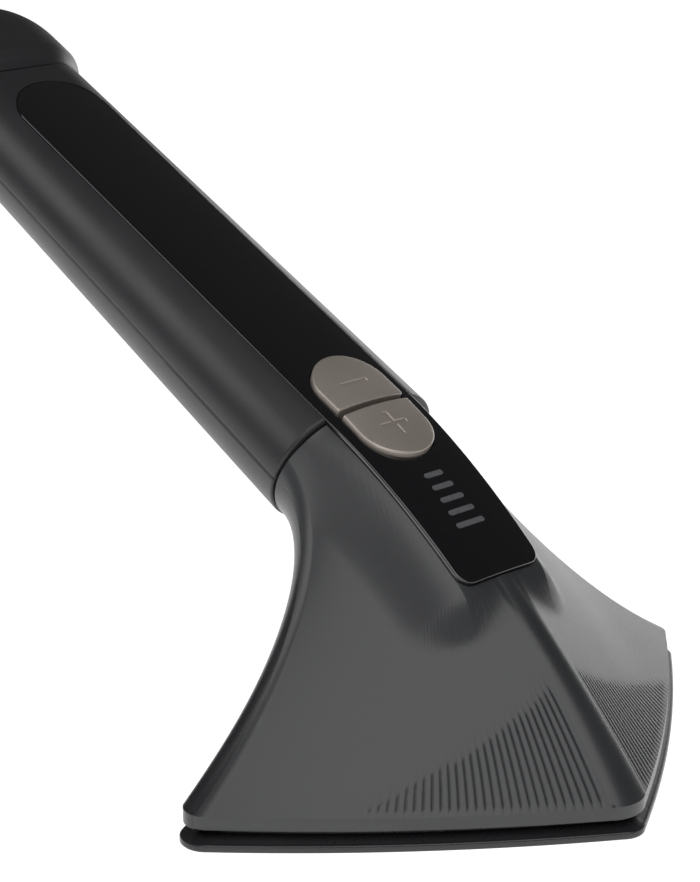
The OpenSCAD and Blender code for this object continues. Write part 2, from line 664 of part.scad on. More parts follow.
module clamp_ring() difference() {
    union() {
        cylinder(r = tube_r + clamp_t, h = clamp_h, $fn = 48);
        translate([tube_r, -clamp_ear.y / 2, 0]) cube(clamp_ear);
    }
    translate([0, 0, -1]) cylinder(r = tube_r + 2 * bend_step, h = clamp_h + 2, $fn = 48);
    translate([tube_r - 1, -clamp_slot / 2, -1]) cube([2 * clamp_ear.x, clamp_slot, clamp_h + 2]);
}
module tube_clamps() color("silver") {
    translate([0, inlet_y, tube_low + clamp_low]) rotate([0, 0, -90]) clamp_ring();
    along_tube() translate([0, tube_run - clamp_h - clamp_back, 0]) rotate([-90, 0, 0])
        rotate([0, 0, 90]) clamp_ring();
}

// Hose inlet in the end cap
socket_y = handle_len + cap_len - socket_len;
inlet_seat = 3;
inlet_r = 4.2;
inlet_nut_r = 6;
inlet_nut_t = 1.5;
nipple_len = 10;
module hose_inlet() color("#b08d4f") on_handle() translate([0, 0, tube_z]) rotate([-90, 0, 0]) difference() {
    union() {
        translate([0, 0, tube_end - nipple_len])
            cylinder(r = tube_bore_r - nipple_fit, h = socket_y - tube_end + nipple_len, $fn = 48);
        translate([0, 0, tube_end + 1]) cylinder(r = inlet_r, h = socket_y - tube_end - 1, $fn = 48);
        translate([0, 0, socket_y - inlet_seat - inlet_nut_t])
            cylinder(r = inlet_nut_r, h = inlet_nut_t, $fn = 6);
    }
    translate([0, 0, tube_end - 2 * nipple_len])
        cylinder(r = tube_bore_r - nipple_wall, h = handle_len, $fn = 32);
}

// End cap: a bulb that closes the handle, with the socket for the hose
cap_rows = 9;
cap_end_wall = 3;
cap_end_r = socket_r + cap_end_wall;
cap_shoulder = 0.42;
cap_lip = 0.16;
function cap_mix(k) = let (j = max(0, k - cap_shoulder) / (1 - cap_shoulder)) sqrt(1 - j * j);
function cap_grow(k) = cap_proud * ease(min(1, k / cap_lip));
function cap_ring(k, d, y) = let (m = cap_mix(k), g = cap_grow(k),
        a = mix(cap_end_r, half_w(handle_len) + g, m), b = mix(cap_end_r, half_t(handle_len) + g, m))
    section(a - d, b - d, y, mix(tube_z, -half_t(handle_len), m));
cap_gap = 0.4;
cap_wall = 2;
cap_hollow_rows = 7;
sleeve_len = 6;
sleeve_t = 1.4;
lip_out = 0.9;
lip_w = 1.4;
lip_end = handle_len - sleeve_len + lip_w;
socket_wall = 2;
cap_root_rows = 2;
function cap_inset(i) = i < cap_root_rows ? handle_wall + fit + sleeve_t : cap_wall;
module end_cap() color("#2b2c2e") on_handle() difference() {
    union() {
        difference() {
            loft([for (i = [cap_rows:-1:0]) let (k = i / cap_rows)
                cap_ring(k, 0, handle_len + cap_gap + (cap_len - cap_gap) * k)]);
            loft([for (i = [cap_hollow_rows:-1:0]) let (k = i / cap_rows)
                cap_ring(k, cap_inset(i), handle_len + cap_gap - seam + (cap_len - cap_gap) * k)]);
        }
        difference() {
            union() {
                handle_solid(handle_wall + fit, handle_len - sleeve_len, handle_len + cap_wall);
                handle_solid(handle_wall + fit - lip_out, handle_len - sleeve_len, lip_end);
            }
            handle_solid(handle_wall + fit + sleeve_t, lip_end - sleeve_len, handle_len + cap_wall + 1);
            translate([-far / 2, handle_len - far, ceiling_z - fit]) cube([far, far, far]);
        }
        translate([0, socket_y - inlet_seat, tube_z]) rotate([-90, 0, 0])
            cylinder(r = socket_r + socket_wall, h = socket_len + inlet_seat - 1, $fn = 64);
    }
    translate([0, socket_y, tube_z]) rotate([-90, 0, 0]) cylinder(r = socket_r, h = socket_len + 5, $fn = 96);
    translate([0, handle_len, tube_z]) rotate([-90, 0, 0])
        cylinder(r = inlet_r + nipple_fit, h = cap_len, $fn = 48);
}

// Handle shells with their screw bosses
boss_r = 3;
boss_x = 12.6;
boss_y = [26, 76, 124];
board_boss_y = 33;
board_boss_x = 5.5;
board_screw_r = 1;
board_hole = 5.5;
boss_top = 6;
boss_in = 0.3;
function boss_dx(y) = boss_x - width_taper / 2 * y / handle_len;
module board_places(z) for (k = [-1, 1]) translate([k * board_boss_x, board_boss_y, z]) children();
module boss_places() for (y = boss_y) for (k = [-1, 1]) translate([k * boss_dx(y), y, 0]) children();
module handle_cavity() intersection() {
    union() {
        handle_solid(handle_wall, -10, handle_len + 10);
        handle_solid(handle_wall - lip_out, handle_len - sleeve_len - fit, lip_end + fit);
    }
    translate([-far / 2, -far / 2, ceiling_z - far]) cube([far, 2 * far, far]);
}
module handle_upper_shell() color("#2b2c2e") on_handle() difference() {
    union() {
        difference() {
            intersection() {
                handle_solid(0, shell_start, handle_len);
                above_split();
            }
            handle_cavity();
        }
        intersection() {
            union() {
                boss_places() translate([0, 0, -far / 2]) cylinder(r = boss_r, h = far, $fn = 32);
                board_places(board_top) cylinder(r = post_r, h = handle_t, $fn = 32);
            }
            handle_solid(handle_wall - boss_in, 1, handle_len - 1);
            above_split();
        }
    }
    panel_pocket();
    button_hole();
    boss_places() translate([0, 0, -far]) cylinder(r = screw_r - 2 * thread, h = far - boss_top, $fn = 32);
    board_places(board_z) cylinder(r = board_screw_r - thread, h = board_hole, $fn = 24);
}
screw_seat = 5;
seat_wall = 1.4;
shell_screw_len = 15;
module handle_lower_shell() color("#2b2c2e") on_handle() difference() {
    union() {
        difference() {
            intersection() {
                handle_solid(0, shell_start, handle_len);
                below_split();
            }
            handle_cavity();
        }
        intersection() {
            boss_places() translate([0, 0, -far / 2]) cylinder(r = boss_r + seat_wall, h = far, $fn = 32);
            handle_solid(handle_wall - boss_in, 1, handle_len - 1);
            below_split();
        }
    }
    boss_places() translate([0, 0, -far / 2]) cylinder(r = screw_r + screw_play, h = far, $fn = 32);
    for (y = boss_y) for (k = [-1, 1])
        translate([k * boss_dx(y), y, -2 * half_t(y) + screw_seat - handle_t])
        cylinder(r = screw_head_r + slip, h = handle_t, $fn = 48);
}
module shell_screws() color("silver") on_handle() for (y = boss_y) for (k = [-1, 1])
    translate([k * boss_dx(y), y, -2 * half_t(y) + screw_seat]) rotate([180, 0, 0])
        screw(screw_r - 3 * thread, shell_screw_len, screw_head_r, screw_head_t);

// Control panel, board and light guide
module control_panel() color("#0c0c0e") on_handle() difference() {
    panel_body(0, 0, panel_t);
    button_hole();
    led_bars(light_gap, guide_room, pocket_top);
}
board_half = 8.6;
board_back = 42;
board_front = -39;
board_nose = 5;
board_taper = 12;
board_plan = [[-board_half, board_back], [-board_half, board_front + board_taper], [-board_nose, board_front],
    [board_nose, board_front], [board_half, board_front + board_taper], [board_half, board_back]];
module control_board() color("#1d5c3a") on_handle() difference() {
    translate([0, 0, board_z]) linear_extrude(board_t) polygon(board_plan);
    board_places(board_z - 1) cylinder(r = board_screw_r + 2 * thread, h = board_t + 2, $fn = 24);
}
board_screw_len = 5;
board_head_r = 1.8;
board_head_t = 1.2;
module board_screws() color("silver") on_handle() board_places(board_z) rotate([180, 0, 0])
    screw(board_screw_r - 2 * thread, board_screw_len, board_head_r, board_head_t);
guide_t = 1.5;
light_gap = 0.05;
guide_top = -panel_t - 0.8;
module light_guide() color("#8f9296") on_handle() {
    led_bars(0, -guide_top + light_gap, -light_gap);
    led_block(0, guide_top - guide_t, guide_top);
}
chip_s = 1.6;
chip_t = 0.7;
module led_chips() color("#f1efe0") on_handle() for (i = [0:led_count - 1]) let (p = led_place(i))
    translate([-chip_s / 2, p.y - chip_s / 2, board_top]) cube([chip_s, chip_s, chip_t]);
module minus_switch() color("#3a3b3d") on_handle() switch();
module plus_switch() color("#3a3b3d") on_handle() facing_plus() switch();
plus_fall = atan(-top_point(-button_l).z / button_l);
module minus_button() color("#8f8178") on_handle() button(0);
module plus_button() color("#8f8178") on_handle() facing_plus() button(plus_fall);
module minus_plunger() color("#c8c8c8") on_handle() plunger();
module plus_plunger() color("#c8c8c8") on_handle() facing_plus() plunger();

// Insulated leads from the board down to the ends of the heating element
lead_r = 0.8;
lead_joint_r = 0.9;
lead_y = heater_y + heater_leg + terminal_len + lead_joint_r + 0.1;
lead_turn = [15, lead_y, 22];
lead_bend = [7, -12, board_z - 2.5];
lead_end = [7, 10, board_z - 1];
module lead(points) for (i = [0:len(points) - 2]) let (v = points[i + 1] - points[i]) {
    translate(points[i]) rotate([0, acos(v.z / norm(v)), atan2(v.y, v.x)])
        cylinder(r = lead_r, h = norm(v), $fn = 20);
    translate(points[i + 1]) sphere(r = lead_joint_r, $fn = 24);
}
function head_point(p) = from_top(p) + [0, tip_y, 0];
module heater_leads() color("#a8402f") for (k = [0, 1]) mirror([k, 0, 0])
    lead([[heater_half, lead_y, heater_z], lead_turn, head_point(lead_bend), head_point(lead_end)]);

hood();
rear_shell();
base_frame();
steam_plate();
plate_gasket();
steam_chamber();
chamber_cover();
heating_element();
cover_screws();
chamber_screws();
thermostat();
thermal_fuse();
heat_shield();
steam_tube();
tube_clamps();
hose_inlet();
handle_upper_shell();
handle_lower_shell();
end_cap();
shell_screws();
control_panel();
control_board();
board_screws();
light_guide();
led_chips();
minus_switch();
plus_switch();
minus_button();
plus_button();
minus_plunger();
plus_plunger();
heater_leads();
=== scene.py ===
import json
import math

import bmesh
import bpy
import numpy as np
from mathutils import Matrix, Vector
from mathutils.geometry import delaunay_2d_cdt


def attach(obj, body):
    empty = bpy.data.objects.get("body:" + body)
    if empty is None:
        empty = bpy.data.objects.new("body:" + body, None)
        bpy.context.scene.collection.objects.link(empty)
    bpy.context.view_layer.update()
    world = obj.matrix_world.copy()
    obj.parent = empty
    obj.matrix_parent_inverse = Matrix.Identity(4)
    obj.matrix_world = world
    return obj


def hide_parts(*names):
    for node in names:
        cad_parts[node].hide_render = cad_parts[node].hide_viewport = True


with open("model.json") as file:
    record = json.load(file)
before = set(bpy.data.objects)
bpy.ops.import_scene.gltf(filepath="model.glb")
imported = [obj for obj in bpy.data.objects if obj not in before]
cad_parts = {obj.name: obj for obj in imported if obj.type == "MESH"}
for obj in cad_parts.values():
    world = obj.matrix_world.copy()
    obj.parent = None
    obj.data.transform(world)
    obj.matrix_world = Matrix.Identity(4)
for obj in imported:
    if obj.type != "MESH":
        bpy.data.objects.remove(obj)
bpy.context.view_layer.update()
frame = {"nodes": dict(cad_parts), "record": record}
scene = bpy.context.scene


# ---- Camera ----------------------------------------------------------------------------------
CAMERA_PLACE = (-0.33495, -0.33015, 0.23985)
CAMERA_RIGHT = (0.7496, -0.6619, 0.0)
CAMERA_FORWARD = (0.6248, 0.7075, -0.3304)
CAMERA_LENS, CAMERA_SENSOR = 97.96, 36.0


def add_camera():
    right = Vector(CAMERA_RIGHT).normalized()
    forward = Vector(CAMERA_FORWARD).normalized()
    up = right.cross(forward).normalized()
    right = forward.cross(up).normalized()
    data = bpy.data.cameras.new("camera")
    data.lens, data.sensor_width, data.sensor_fit = CAMERA_LENS, CAMERA_SENSOR, "AUTO"
    data.clip_start, data.clip_end = 0.02, 20
    cam = bpy.data.objects.new("camera", data)
    rows = Matrix((right, up, -forward)).transposed().to_4x4()
    rows.translation = Vector(CAMERA_PLACE)
    cam.matrix_world = rows
    scene.collection.objects.link(cam)
    scene.camera = cam


add_camera()


# ---- Sizes, in millimetres, in the CAD frame -------------------------------------------------
MM = 0.001
BASE_W, BASE_DEPTH, BASE_BACK = 150.0, 58.5, 81.0
TIP_Y = -42.0
FLANGE_TIP_R, FLANGE_CORNER_R, EDGE_BOW = 5.0, 5.5, 2.3
HOOD_STEP, HOOD_TIP_R, HOOD_CORNER_R, REAR_STEP = 0.3, 8.0, 5.0, 1.5
HEAD_WALL = 2.4
RIM_Z, HOOD_Z = 4.2, 7.3
HANDLE_RISE = math.radians(23.6)
NECK_BACK, NECK_TOP = 83.7, 72.8
HANDLE_LEN, HANDLE_W, HANDLE_T = 142.0, 45.8, 29.8
WIDTH_TAPER, DEPTH_TAPER, HANDLE_WALL = 4.8, 3.6, 2.0
CAP_LEN, CAP_PROUD, CAP_GAP, CAP_SHOULDER = 32.0, 2.3, 0.4, 0.42
SOCKET_R, SOCKET_LEN, TUBE_Z = 8.0, 14.0, -14.6
PANEL_HALF, PANEL_T, PANEL_LEN, TONGUE_LEN = 12.7, 1.6, 135.0, 49.5
PANEL_CROWN, PANEL_END_HALF, TONGUE_CORNER = 0.8, 11.6, 3.5
BUTTON_L, BUTTON_W, BUTTON_GAP, BUTTON_PROUD = 16.0, 19.0, 1.5, 1.5

# The seam of hood and rear shell, and the centres of the corners of the flange and the hood
SEAM_A = math.radians(-20)
FLANGE_C = np.array([BASE_W / 2 - 7.6, BASE_DEPTH + 0.8])
HOOD_C = FLANGE_C + [-0.9, 0.7]
EDGE_COS = math.cos(math.atan2(BASE_DEPTH, BASE_W / 2))
HOOD_START = HOOD_STEP / EDGE_COS
HOOD_BACK = BASE_BACK - REAR_STEP


# ---- Plan of the head ------------------------------------------------------------------------
def unit(a):
    return np.array([math.cos(a), math.sin(a)])


def tangent_a(tip, c, r):
    """Angle of the line from the tip that touches the corner's circle."""
    v = c - np.array([0, tip])
    return math.atan2(v[1], v[0]) - math.asin(r / np.hypot(*v))


def arc(c, r, a, b, k):
    g = a + (b - a) * k
    return np.stack([c[0] + r * np.cos(g), c[1] + r * np.sin(g)], -1)


def front_half(tip, c, tip_r, corner_r, bow, k):
    """Right half of a front outline.

    k runs from 0 to 1 round the tip, to 2 along the edge and to 3 round the corner.
    """
    a = tangent_a(tip, c, corner_r)
    p = arc([0, tip + tip_r / math.cos(a)], tip_r, -math.pi / 2, a - math.pi / 2, np.clip(k, 0, 1))
    start = arc([0, tip + tip_r / math.cos(a)], tip_r, 0, a - math.pi / 2, np.array(1.0))
    end = c + corner_r * unit(a - math.pi / 2)
    e = np.clip(k - 1, 0, 1)[:, None]
    side = unit(math.atan2(end[1] - start[1], end[0] - start[0]) - math.pi / 2)
    edge = start + (end - start) * e + side * 4 * bow * e * (1 - e)
    corner = arc(c, corner_r, a - math.pi / 2, SEAM_A, np.clip(k - 2, 0, 1))
    return np.where((k <= 1)[:, None], p, np.where((k <= 2)[:, None], edge, corner))


def back_radius(c, r, back):
    """Radius of the arc of the back that touches both corners' circles."""
    k = c[1] - back
    return (r * r - c[0] ** 2 - k * k) / (2 * (k + r))


def back_half(c, r, back, k):
    """Right half of a back outline. k runs 0 to 1 round the corner and to 2 along the back."""
    big = back_radius(c, r, back)
    b = math.atan2(c[1] - back + big, c[0])
    corner = arc(c, r, SEAM_A, b, np.clip(k, 0, 1))
    back_arc = arc([0, back - big], big, b, math.pi / 2, np.clip(k - 1, 0, 1))
    return np.where((k <= 1)[:, None], corner, back_arc)


def corner_in(i):
    """Centre of the flange's corner once its outline is set in by i."""
    a = tangent_a(0, FLANGE_C, FLANGE_CORNER_R)
    big = back_radius(FLANGE_C, FLANGE_CORNER_R, BASE_BACK)
    q = (FLANGE_CORNER_R + i) * np.array([-math.sin(a), math.cos(a)])
    v = q - [0, BASE_BACK - big]
    m = big - FLANGE_CORNER_R - i
    k = v @ unit(a)
    return q + (math.sqrt(k * k - v @ v + m * m) - k) * unit(a)


def flange_plan(i, kf, kb):
    """Closed outline of the flange, set in by i, from the tip anticlockwise."""
    c = corner_in(i)
    a = tangent_a(0, FLANGE_C, FLANGE_CORNER_R)
    front = front_half(i / math.cos(a), c, FLANGE_TIP_R, FLANGE_CORNER_R, EDGE_BOW, kf)
    half = np.concatenate([front, back_half(c, FLANGE_CORNER_R, BASE_BACK - i, kb)[1:]])
    return np.concatenate([half, half[-2:0:-1] * [-1, 1]]) + [0, TIP_Y]


# ---- Frame of the handle's top line ----------------------------------------------------------
UP = np.array([0, math.cos(HANDLE_RISE), math.sin(HANDLE_RISE)])
OFF = np.array([0, -math.sin(HANDLE_RISE), math.cos(HANDLE_RISE)])
NECK = np.array([0, NECK_BACK, NECK_TOP])
AXES = np.array([[1, 0, 0], UP, OFF])


def from_top(p):
    return NECK + np.asarray(p, float) @ AXES


def to_top(p):
    return (np.asarray(p, float) - NECK) @ AXES.T


def half_w(y):
    return (HANDLE_W - WIDTH_TAPER * y / HANDLE_LEN) / 2


def half_t(y):
    return (HANDLE_T - DEPTH_TAPER * y / HANDLE_LEN) / 2


def bezier(p, t):
    t = np.asarray(t, float)[..., None]
    return (1 - t) ** 3 * p[0] + 3 * t * (1 - t) ** 2 * p[1] + 3 * t * t * (1 - t) * p[2] + t ** 3 * p[3]


NECK_UNDER = 0.5
HOOD_TIP = front_half(HOOD_START, HOOD_C, HOOD_TIP_R, HOOD_CORNER_R, EDGE_BOW, np.array([0.0]))[0][1]
SIDE_P = back_half(HOOD_C, HOOD_CORNER_R, HOOD_BACK, np.array([0.0]))[0]

# Control points of the top line of hood and panel, of the ridge under it, of the seam and of the back
TOP_LINE = np.array([[0, HOOD_TIP, HOOD_Z], [0, HOOD_TIP + 17.9, HOOD_Z + 22.1],
                     from_top([0, -37.1, 0]), NECK])
RIDGE = TOP_LINE - np.outer([0, 0.3, 2, NECK_UNDER], OFF)
SEAM = np.array([[*SIDE_P, HOOD_Z], [BASE_W / 2 - 29, BASE_DEPTH + 4.4, HOOD_Z + 15.3],
                 from_top([half_w(0), -22, -half_t(0)]), from_top([half_w(0) - NECK_UNDER, 0, -half_t(0)])])
BACK = np.array([[0, HOOD_BACK, HOOD_Z], [0, HOOD_BACK + 2, HOOD_Z + 20],
                 from_top([0, -14, NECK_UNDER - HANDLE_T]), from_top([0, 0, NECK_UNDER - HANDLE_T])])

# The stretches of the outline, edge and corner: their share in the neck's section, and their length
EDGE_SHARE, CORNER_SHARE = 9.0, 4.0
EDGE_LEN, CORNER_STRETCH = (BASE_W / 2 - 13) / EDGE_COS, 6.5


def quarter(k):
    """Quarter section of the neck over the same k as front_half.

    It is in shares of the neck's half width and half thickness.
    """
    r = HANDLE_T / HANDLE_W
    length = np.array([EDGE_LEN, CORNER_STRETCH])
    share = np.array([EDGE_SHARE, CORNER_SHARE]) / (EDGE_SHARE + CORNER_SHARE)
    m = share / length
    mid = 2 * m[0] * m[1] / (m[0] + m[1])
    e, c = np.clip(k - 1, 0, 1), np.clip(k - 2, 0, 1)
    rise = hermite(e, 0, share[0], m[0] * length[0], mid * length[0])
    rise = np.where(k > 2, hermite(c, share[0], 1, mid * length[1], m[1] * length[1]), rise)
    g = rise * math.pi / 2
    flat = np.clip(k, 0, 1)
    return np.stack([(1 - r) * flat + r * np.sin(g), np.cos(g)], -1)


def hermite(x, p0, p1, d0, d1):
    """Cubic from p0 to p1 with slopes d0 and d1 at its ends."""
    return (2 * x ** 3 - 3 * x * x + 1) * p0 + (x ** 3 - 2 * x * x + x) * d0 + (3 * x * x - 2 * x ** 3) * p1 \
        + (x ** 3 - x * x) * d1


def rear_quarter(k):
    """The same below the seam: k runs from the seam (0) to the middle of the back (2)."""
    r = HANDLE_T / HANDLE_W
    g = math.pi / 2 * np.clip(k, 0, 1)
    return np.stack([(1 - r) * (1 - np.clip(k - 1, 0, 1)) + r * np.cos(g), np.sin(g)], -1)


# How much of the neck's section the hood has taken on where it meets the handle, and how late
FRONT_SHARE, FRONT_POWER = 0.8, 3.5


def ease(t):
    return t * t * (1.2 - 0.2 * t)


def front_ease(t):
    return FRONT_SHARE * t ** FRONT_POWER


def head_rows(t, k, d, front):
    """Points of the hood (front) or of the rear shell, set in by d.

    There is one row per t, which runs from 0 at the rim to 1 at the neck.
    """
    t = np.asarray(t, float)
    s = bezier(SEAM, t)
    o = s * [0, 1, 1]
    f = bezier(RIDGE if front else BACK, t)
    gap = f - o
    share = (1.3 - 0.3 * t) if front else np.ones_like(t)
    f = f - gap / np.linalg.norm(gap, axis=1)[:, None] * (d * share)[:, None]
    if front:
        plan = front_half(HOOD_START, HOOD_C, HOOD_TIP_R, HOOD_CORNER_R, EDGE_BOW, k)
        base = np.stack([plan[:, 0] / SIDE_P[0], (SIDE_P[1] - plan[:, 1]) / (SIDE_P[1] - HOOD_TIP)], -1)
        w, neck = front_ease(t)[:, None, None], quarter(k)
    else:
        plan = back_half(HOOD_C, HOOD_CORNER_R, HOOD_BACK, k)
        base = np.stack([plan[:, 0] / SIDE_P[0], (plan[:, 1] - SIDE_P[1]) / (HOOD_BACK - SIDE_P[1])], -1)
        w, neck = ease(t)[:, None, None], rear_quarter(k)
    u = base * (1 - w) + neck * w
    x = u[..., 0] * (s[:, 0] - d)[:, None]
    zero = 0 * x
    return o[:, None] + np.stack([x, zero, zero], -1) + (f - o)[:, None] * np.maximum(u[..., 1], 0)[..., None]


def neck_rows(y, k, d, front):
    """Rows inside the handle, one per station y, on its section set in by d."""
    u = quarter(k) if front else rear_quarter(k)
    sign = 1 if front else -1
    return np.stack([from_top(np.stack([(half_w(v) - d) * u[:, 0], np.full(len(k), v),
                                        -half_t(v) + sign * (half_t(v) - d) * u[:, 1]], -1)) for v in y])


def mirrored(grid):
    """A half grid (columns from the mirror plane outwards) to a whole one."""
    return np.concatenate([grid[:, :0:-1] * [-1, 1, 1], grid], axis=1)


def row_frame(p):
    """CAD points, whose y starts at the flange's tip, in the row's frame."""
    return np.asarray(p, float) + [0, TIP_Y, 0]


# ---- Mesh helpers ----------------------------------------------------------------------------
def strip(a, b):
    """Quads between two index loops or lines of the same length."""
    return [(int(a[i]), int(b[i]), int(b[i + 1]), int(a[i + 1])) for i in range(len(a) - 1)]


def grid_faces(index, flip=False, closed=False):
    faces = []
    for r in range(len(index) - 1):
        a, b = index[r], index[r + 1]
        if closed:
            a, b = np.append(a, a[0]), np.append(b, b[0])
        faces += strip(b, a) if flip else strip(a, b)
    return faces


def wall_mesh(outer, inner):
    """A closed wall between two grids of points with the same rows and columns."""
    rows, cols = outer.shape[:2]
    a = np.arange(rows * cols).reshape(rows, cols)
    b = a + rows * cols
    faces = grid_faces(a) + grid_faces(b, flip=True)
    faces += strip(b[0], a[0]) + strip(a[-1], b[-1]) + strip(a[:, 0], b[:, 0]) + strip(b[:, -1], a[:, -1])
    return np.concatenate([outer.reshape(-1, 3), inner.reshape(-1, 3)]), faces


def tube_mesh(rings, ends=False):
    """A surface through closed rings; ends closes the first and last, otherwise they join up."""
    grid = np.arange(len(rings) * len(rings[0])).reshape(len(rings), -1)
    if ends:
        faces = grid_faces(grid, closed=True)
        return np.concatenate(rings), faces + [tuple(map(int, grid[0])), tuple(map(int, grid[-1][::-1]))]
    return np.concatenate(rings), grid_faces(np.vstack([grid, grid[:1]]), closed=True)


MERGE, TINY = 2e-6, 1e-7


def new_object(name, verts, faces, sharp=35):
    mesh = bpy.data.meshes.new(name)
    mesh.from_pydata((np.asarray(verts) * MM).tolist(), [], faces)
    mesh.update()
    obj = bpy.data.objects.new(name, mesh)
    scene.collection.objects.link(obj)
    bm_fix(mesh)
    finish_shading(mesh, sharp)
    return obj


def bm_fix(mesh):
    """Merge doubles and turn the faces outward."""
    bm = bmesh.new()
    bm.from_mesh(mesh)
    bmesh.ops.remove_doubles(bm, verts=bm.verts, dist=MERGE)
    bmesh.ops.dissolve_degenerate(bm, dist=TINY, edges=bm.edges)
    bmesh.ops.recalc_face_normals(bm, faces=bm.faces)
    bm.to_mesh(mesh)
    bm.free()


def finish_shading(mesh, sharp):
    mesh.shade_smooth()
    mesh.set_sharp_from_angle(angle=math.radians(sharp))


def cut(obj, knife, sharp=35):
    """Take the knife away from obj."""
    for solver in ("MANIFOLD", "EXACT"):
        mod = obj.modifiers.new("cut", "BOOLEAN")
        mod.operation, mod.solver, mod.object = "DIFFERENCE", solver, knife
        bpy.context.view_layer.update()
        done = obj.evaluated_get(bpy.context.evaluated_depsgraph_get())
        result = bpy.data.meshes.new_from_object(done)
        obj.modifiers.clear()
        if len(result.polygons) and len(result.polygons) != len(obj.data.polygons):
            break
    obj.data = result
    bm = bmesh.new()
    bm.from_mesh(result)
    bmesh.ops.dissolve_degenerate(bm, dist=TINY, edges=bm.edges)
    bm.to_mesh(result)
    bm.free()
    finish_shading(result, sharp)


def piece(obj, body, slot, *nodes):
    """Give a new object its material, hang it under its body and hide the CAD parts it stands in for."""
    obj.data.materials.clear()
    obj.data.materials.append(MATERIALS[slot])
    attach(obj, body)
    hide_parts(*nodes)
    return obj


# ---- The top line, its stations and the panel on it ------------------------------------------
LINE_T = np.linspace(0, 1, 4001)
LINE = to_top(bezier(TOP_LINE, LINE_T))
LINE_S = -np.linalg.norm(LINE, axis=1)
SLOPE_STEP = 0.5


def top_point(s):
    """Place of station s on the top line: along the handle from 0 on, and down the hood below 0."""
    s = np.asarray(s, float)
    y = np.interp(s, LINE_S, LINE[:, 1])
    z = np.interp(s, LINE_S, LINE[:, 2])
    return np.where(s >= 0, s, y), np.where(s >= 0, 0, z)


def top_slope(s):
    (y0, z0), (y1, z1) = top_point(np.asarray(s) - SLOPE_STEP), top_point(np.asarray(s) + SLOPE_STEP)
    return np.where(np.asarray(s) < 0, np.arctan2(z1 - z0, y1 - y0), 0)


def on_line(x, s, z):
    """Handle frame points at station s, x to the side and z off the line."""
    y0, z0 = top_point(s)
    a = top_slope(s)
    return np.stack([x + 0 * z, y0 - z * np.sin(a), z0 + z * np.cos(a)], -1)


def panel_width(s):
    """Half width of the panel at station s."""
    s = np.asarray(s, float)
    end = np.sqrt(np.maximum(PANEL_HALF ** 2 - np.maximum(s - PANEL_LEN + PANEL_HALF, 0) ** 2, 0.0004))
    corner = PANEL_END_HALF - TONGUE_CORNER + np.sqrt(
        np.maximum(TONGUE_CORNER ** 2 - np.maximum(TONGUE_CORNER - TONGUE_LEN - s, 0) ** 2, 0))
    side = PANEL_HALF + (PANEL_END_HALF - PANEL_HALF) * np.minimum(s, 0) / -TONGUE_LEN
    return np.where(s > PANEL_LEN - PANEL_HALF, end, np.where(s < TONGUE_CORNER - TONGUE_LEN, corner, side))


def panel_edge(x, s):
    """Distance from a point of the panel in to its outline."""
    side = panel_width(s) - np.abs(x)
    far = PANEL_HALF - np.hypot(x, s - PANEL_LEN + PANEL_HALF)
    cx, cy = PANEL_END_HALF - TONGUE_CORNER, TONGUE_CORNER - TONGUE_LEN
    near = TONGUE_CORNER - np.hypot(np.maximum(np.abs(x) - cx, 0), np.maximum(cy - s, 0))
    d = np.where(s > PANEL_LEN - PANEL_HALF, far, side)
    return np.maximum(np.where(s < cy, near, d), 0)


CROWN_POWER = 2.5
# Stations close to the panel's ends, in mm, and columns close to its sides, in shares of its width
PANEL_ENDS = np.array([0.0, 0.04, 0.09, 0.15, 0.22, 0.3, 0.4, 0.55, 0.75])
PANEL_SIDES = np.array([0.0, 0.002, 0.005, 0.009, 0.014, 0.02, 0.027, 0.035, 0.06, 0.1, 0.16, 0.23])
PANEL_STEP = 1.1
# The pocket grows in length only outside this stretch: its middle and half its length
POCKET_MID, POCKET_PLAIN = 40, 80
POCKET_SLIP, POCKET_UNDER, POCKET_TOP, PANEL_FILLET = 0.15, 0.1, 4.0, 0.3


def crown(x):
    """How far the panel's top falls away at x to the side."""
    return PANEL_CROWN * (np.abs(x) / PANEL_HALF) ** CROWN_POWER


def panel_solid(grow, top, under, fillet):
    """The panel, or its pocket where grow isn't 0, as a closed loft over dense stations."""
    lo, hi = -TONGUE_LEN, PANEL_LEN
    turn = np.linspace(0, math.pi / 2, 17)
    near = np.concatenate([PANEL_ENDS, TONGUE_CORNER * (1 - np.cos(turn))])
    far = np.concatenate([PANEL_ENDS * 0.6, PANEL_HALF * (1 - np.sin(turn))])
    middle = np.arange(lo + TONGUE_CORNER, hi - PANEL_HALF, PANEL_STEP)
    s = np.unique(np.round(np.concatenate([lo + near, hi - far, middle]), 4))
    u = np.unique(np.round(np.concatenate([PANEL_SIDES - 1, 1 - PANEL_SIDES, np.linspace(-0.7, 0.7, 23)]), 5))
    w = panel_width(s) + grow
    x = w[:, None] * u
    z = top - crown(x)
    s_grid = s[:, None] + 0 * x
    if fillet:
        d = np.minimum(panel_edge(x, s_grid), fillet)
        z = z - (fillet - np.sqrt(np.maximum(fillet ** 2 - (fillet - d) ** 2, 0)))
    if grow:
        s_grid = s_grid + np.interp(s_grid, [lo, lo + 0.01, hi - 0.01, hi], [-grow, -grow, grow, grow])
        s_grid = np.where(np.abs(s_grid - POCKET_MID) < POCKET_PLAIN, s[:, None], s_grid)
    upper = on_line(x, s_grid, z)
    lower = on_line(x, s_grid, np.full_like(x, -under))
    upper, lower = row_frame(from_top(upper)), row_frame(from_top(lower))
    return wall_mesh(upper, lower)


# ---- Outlines --------------------------------------------------------------------------------
def stadium(half, r, grow=0.0, n=48):
    """Outline of two half circles of radius r whose centres are half above and below the middle."""
    g = np.linspace(0, math.pi, n)
    a = np.stack([(r + grow) * np.cos(g), half + (r + grow) * np.sin(g)], -1)
    return np.concatenate([a, -a])


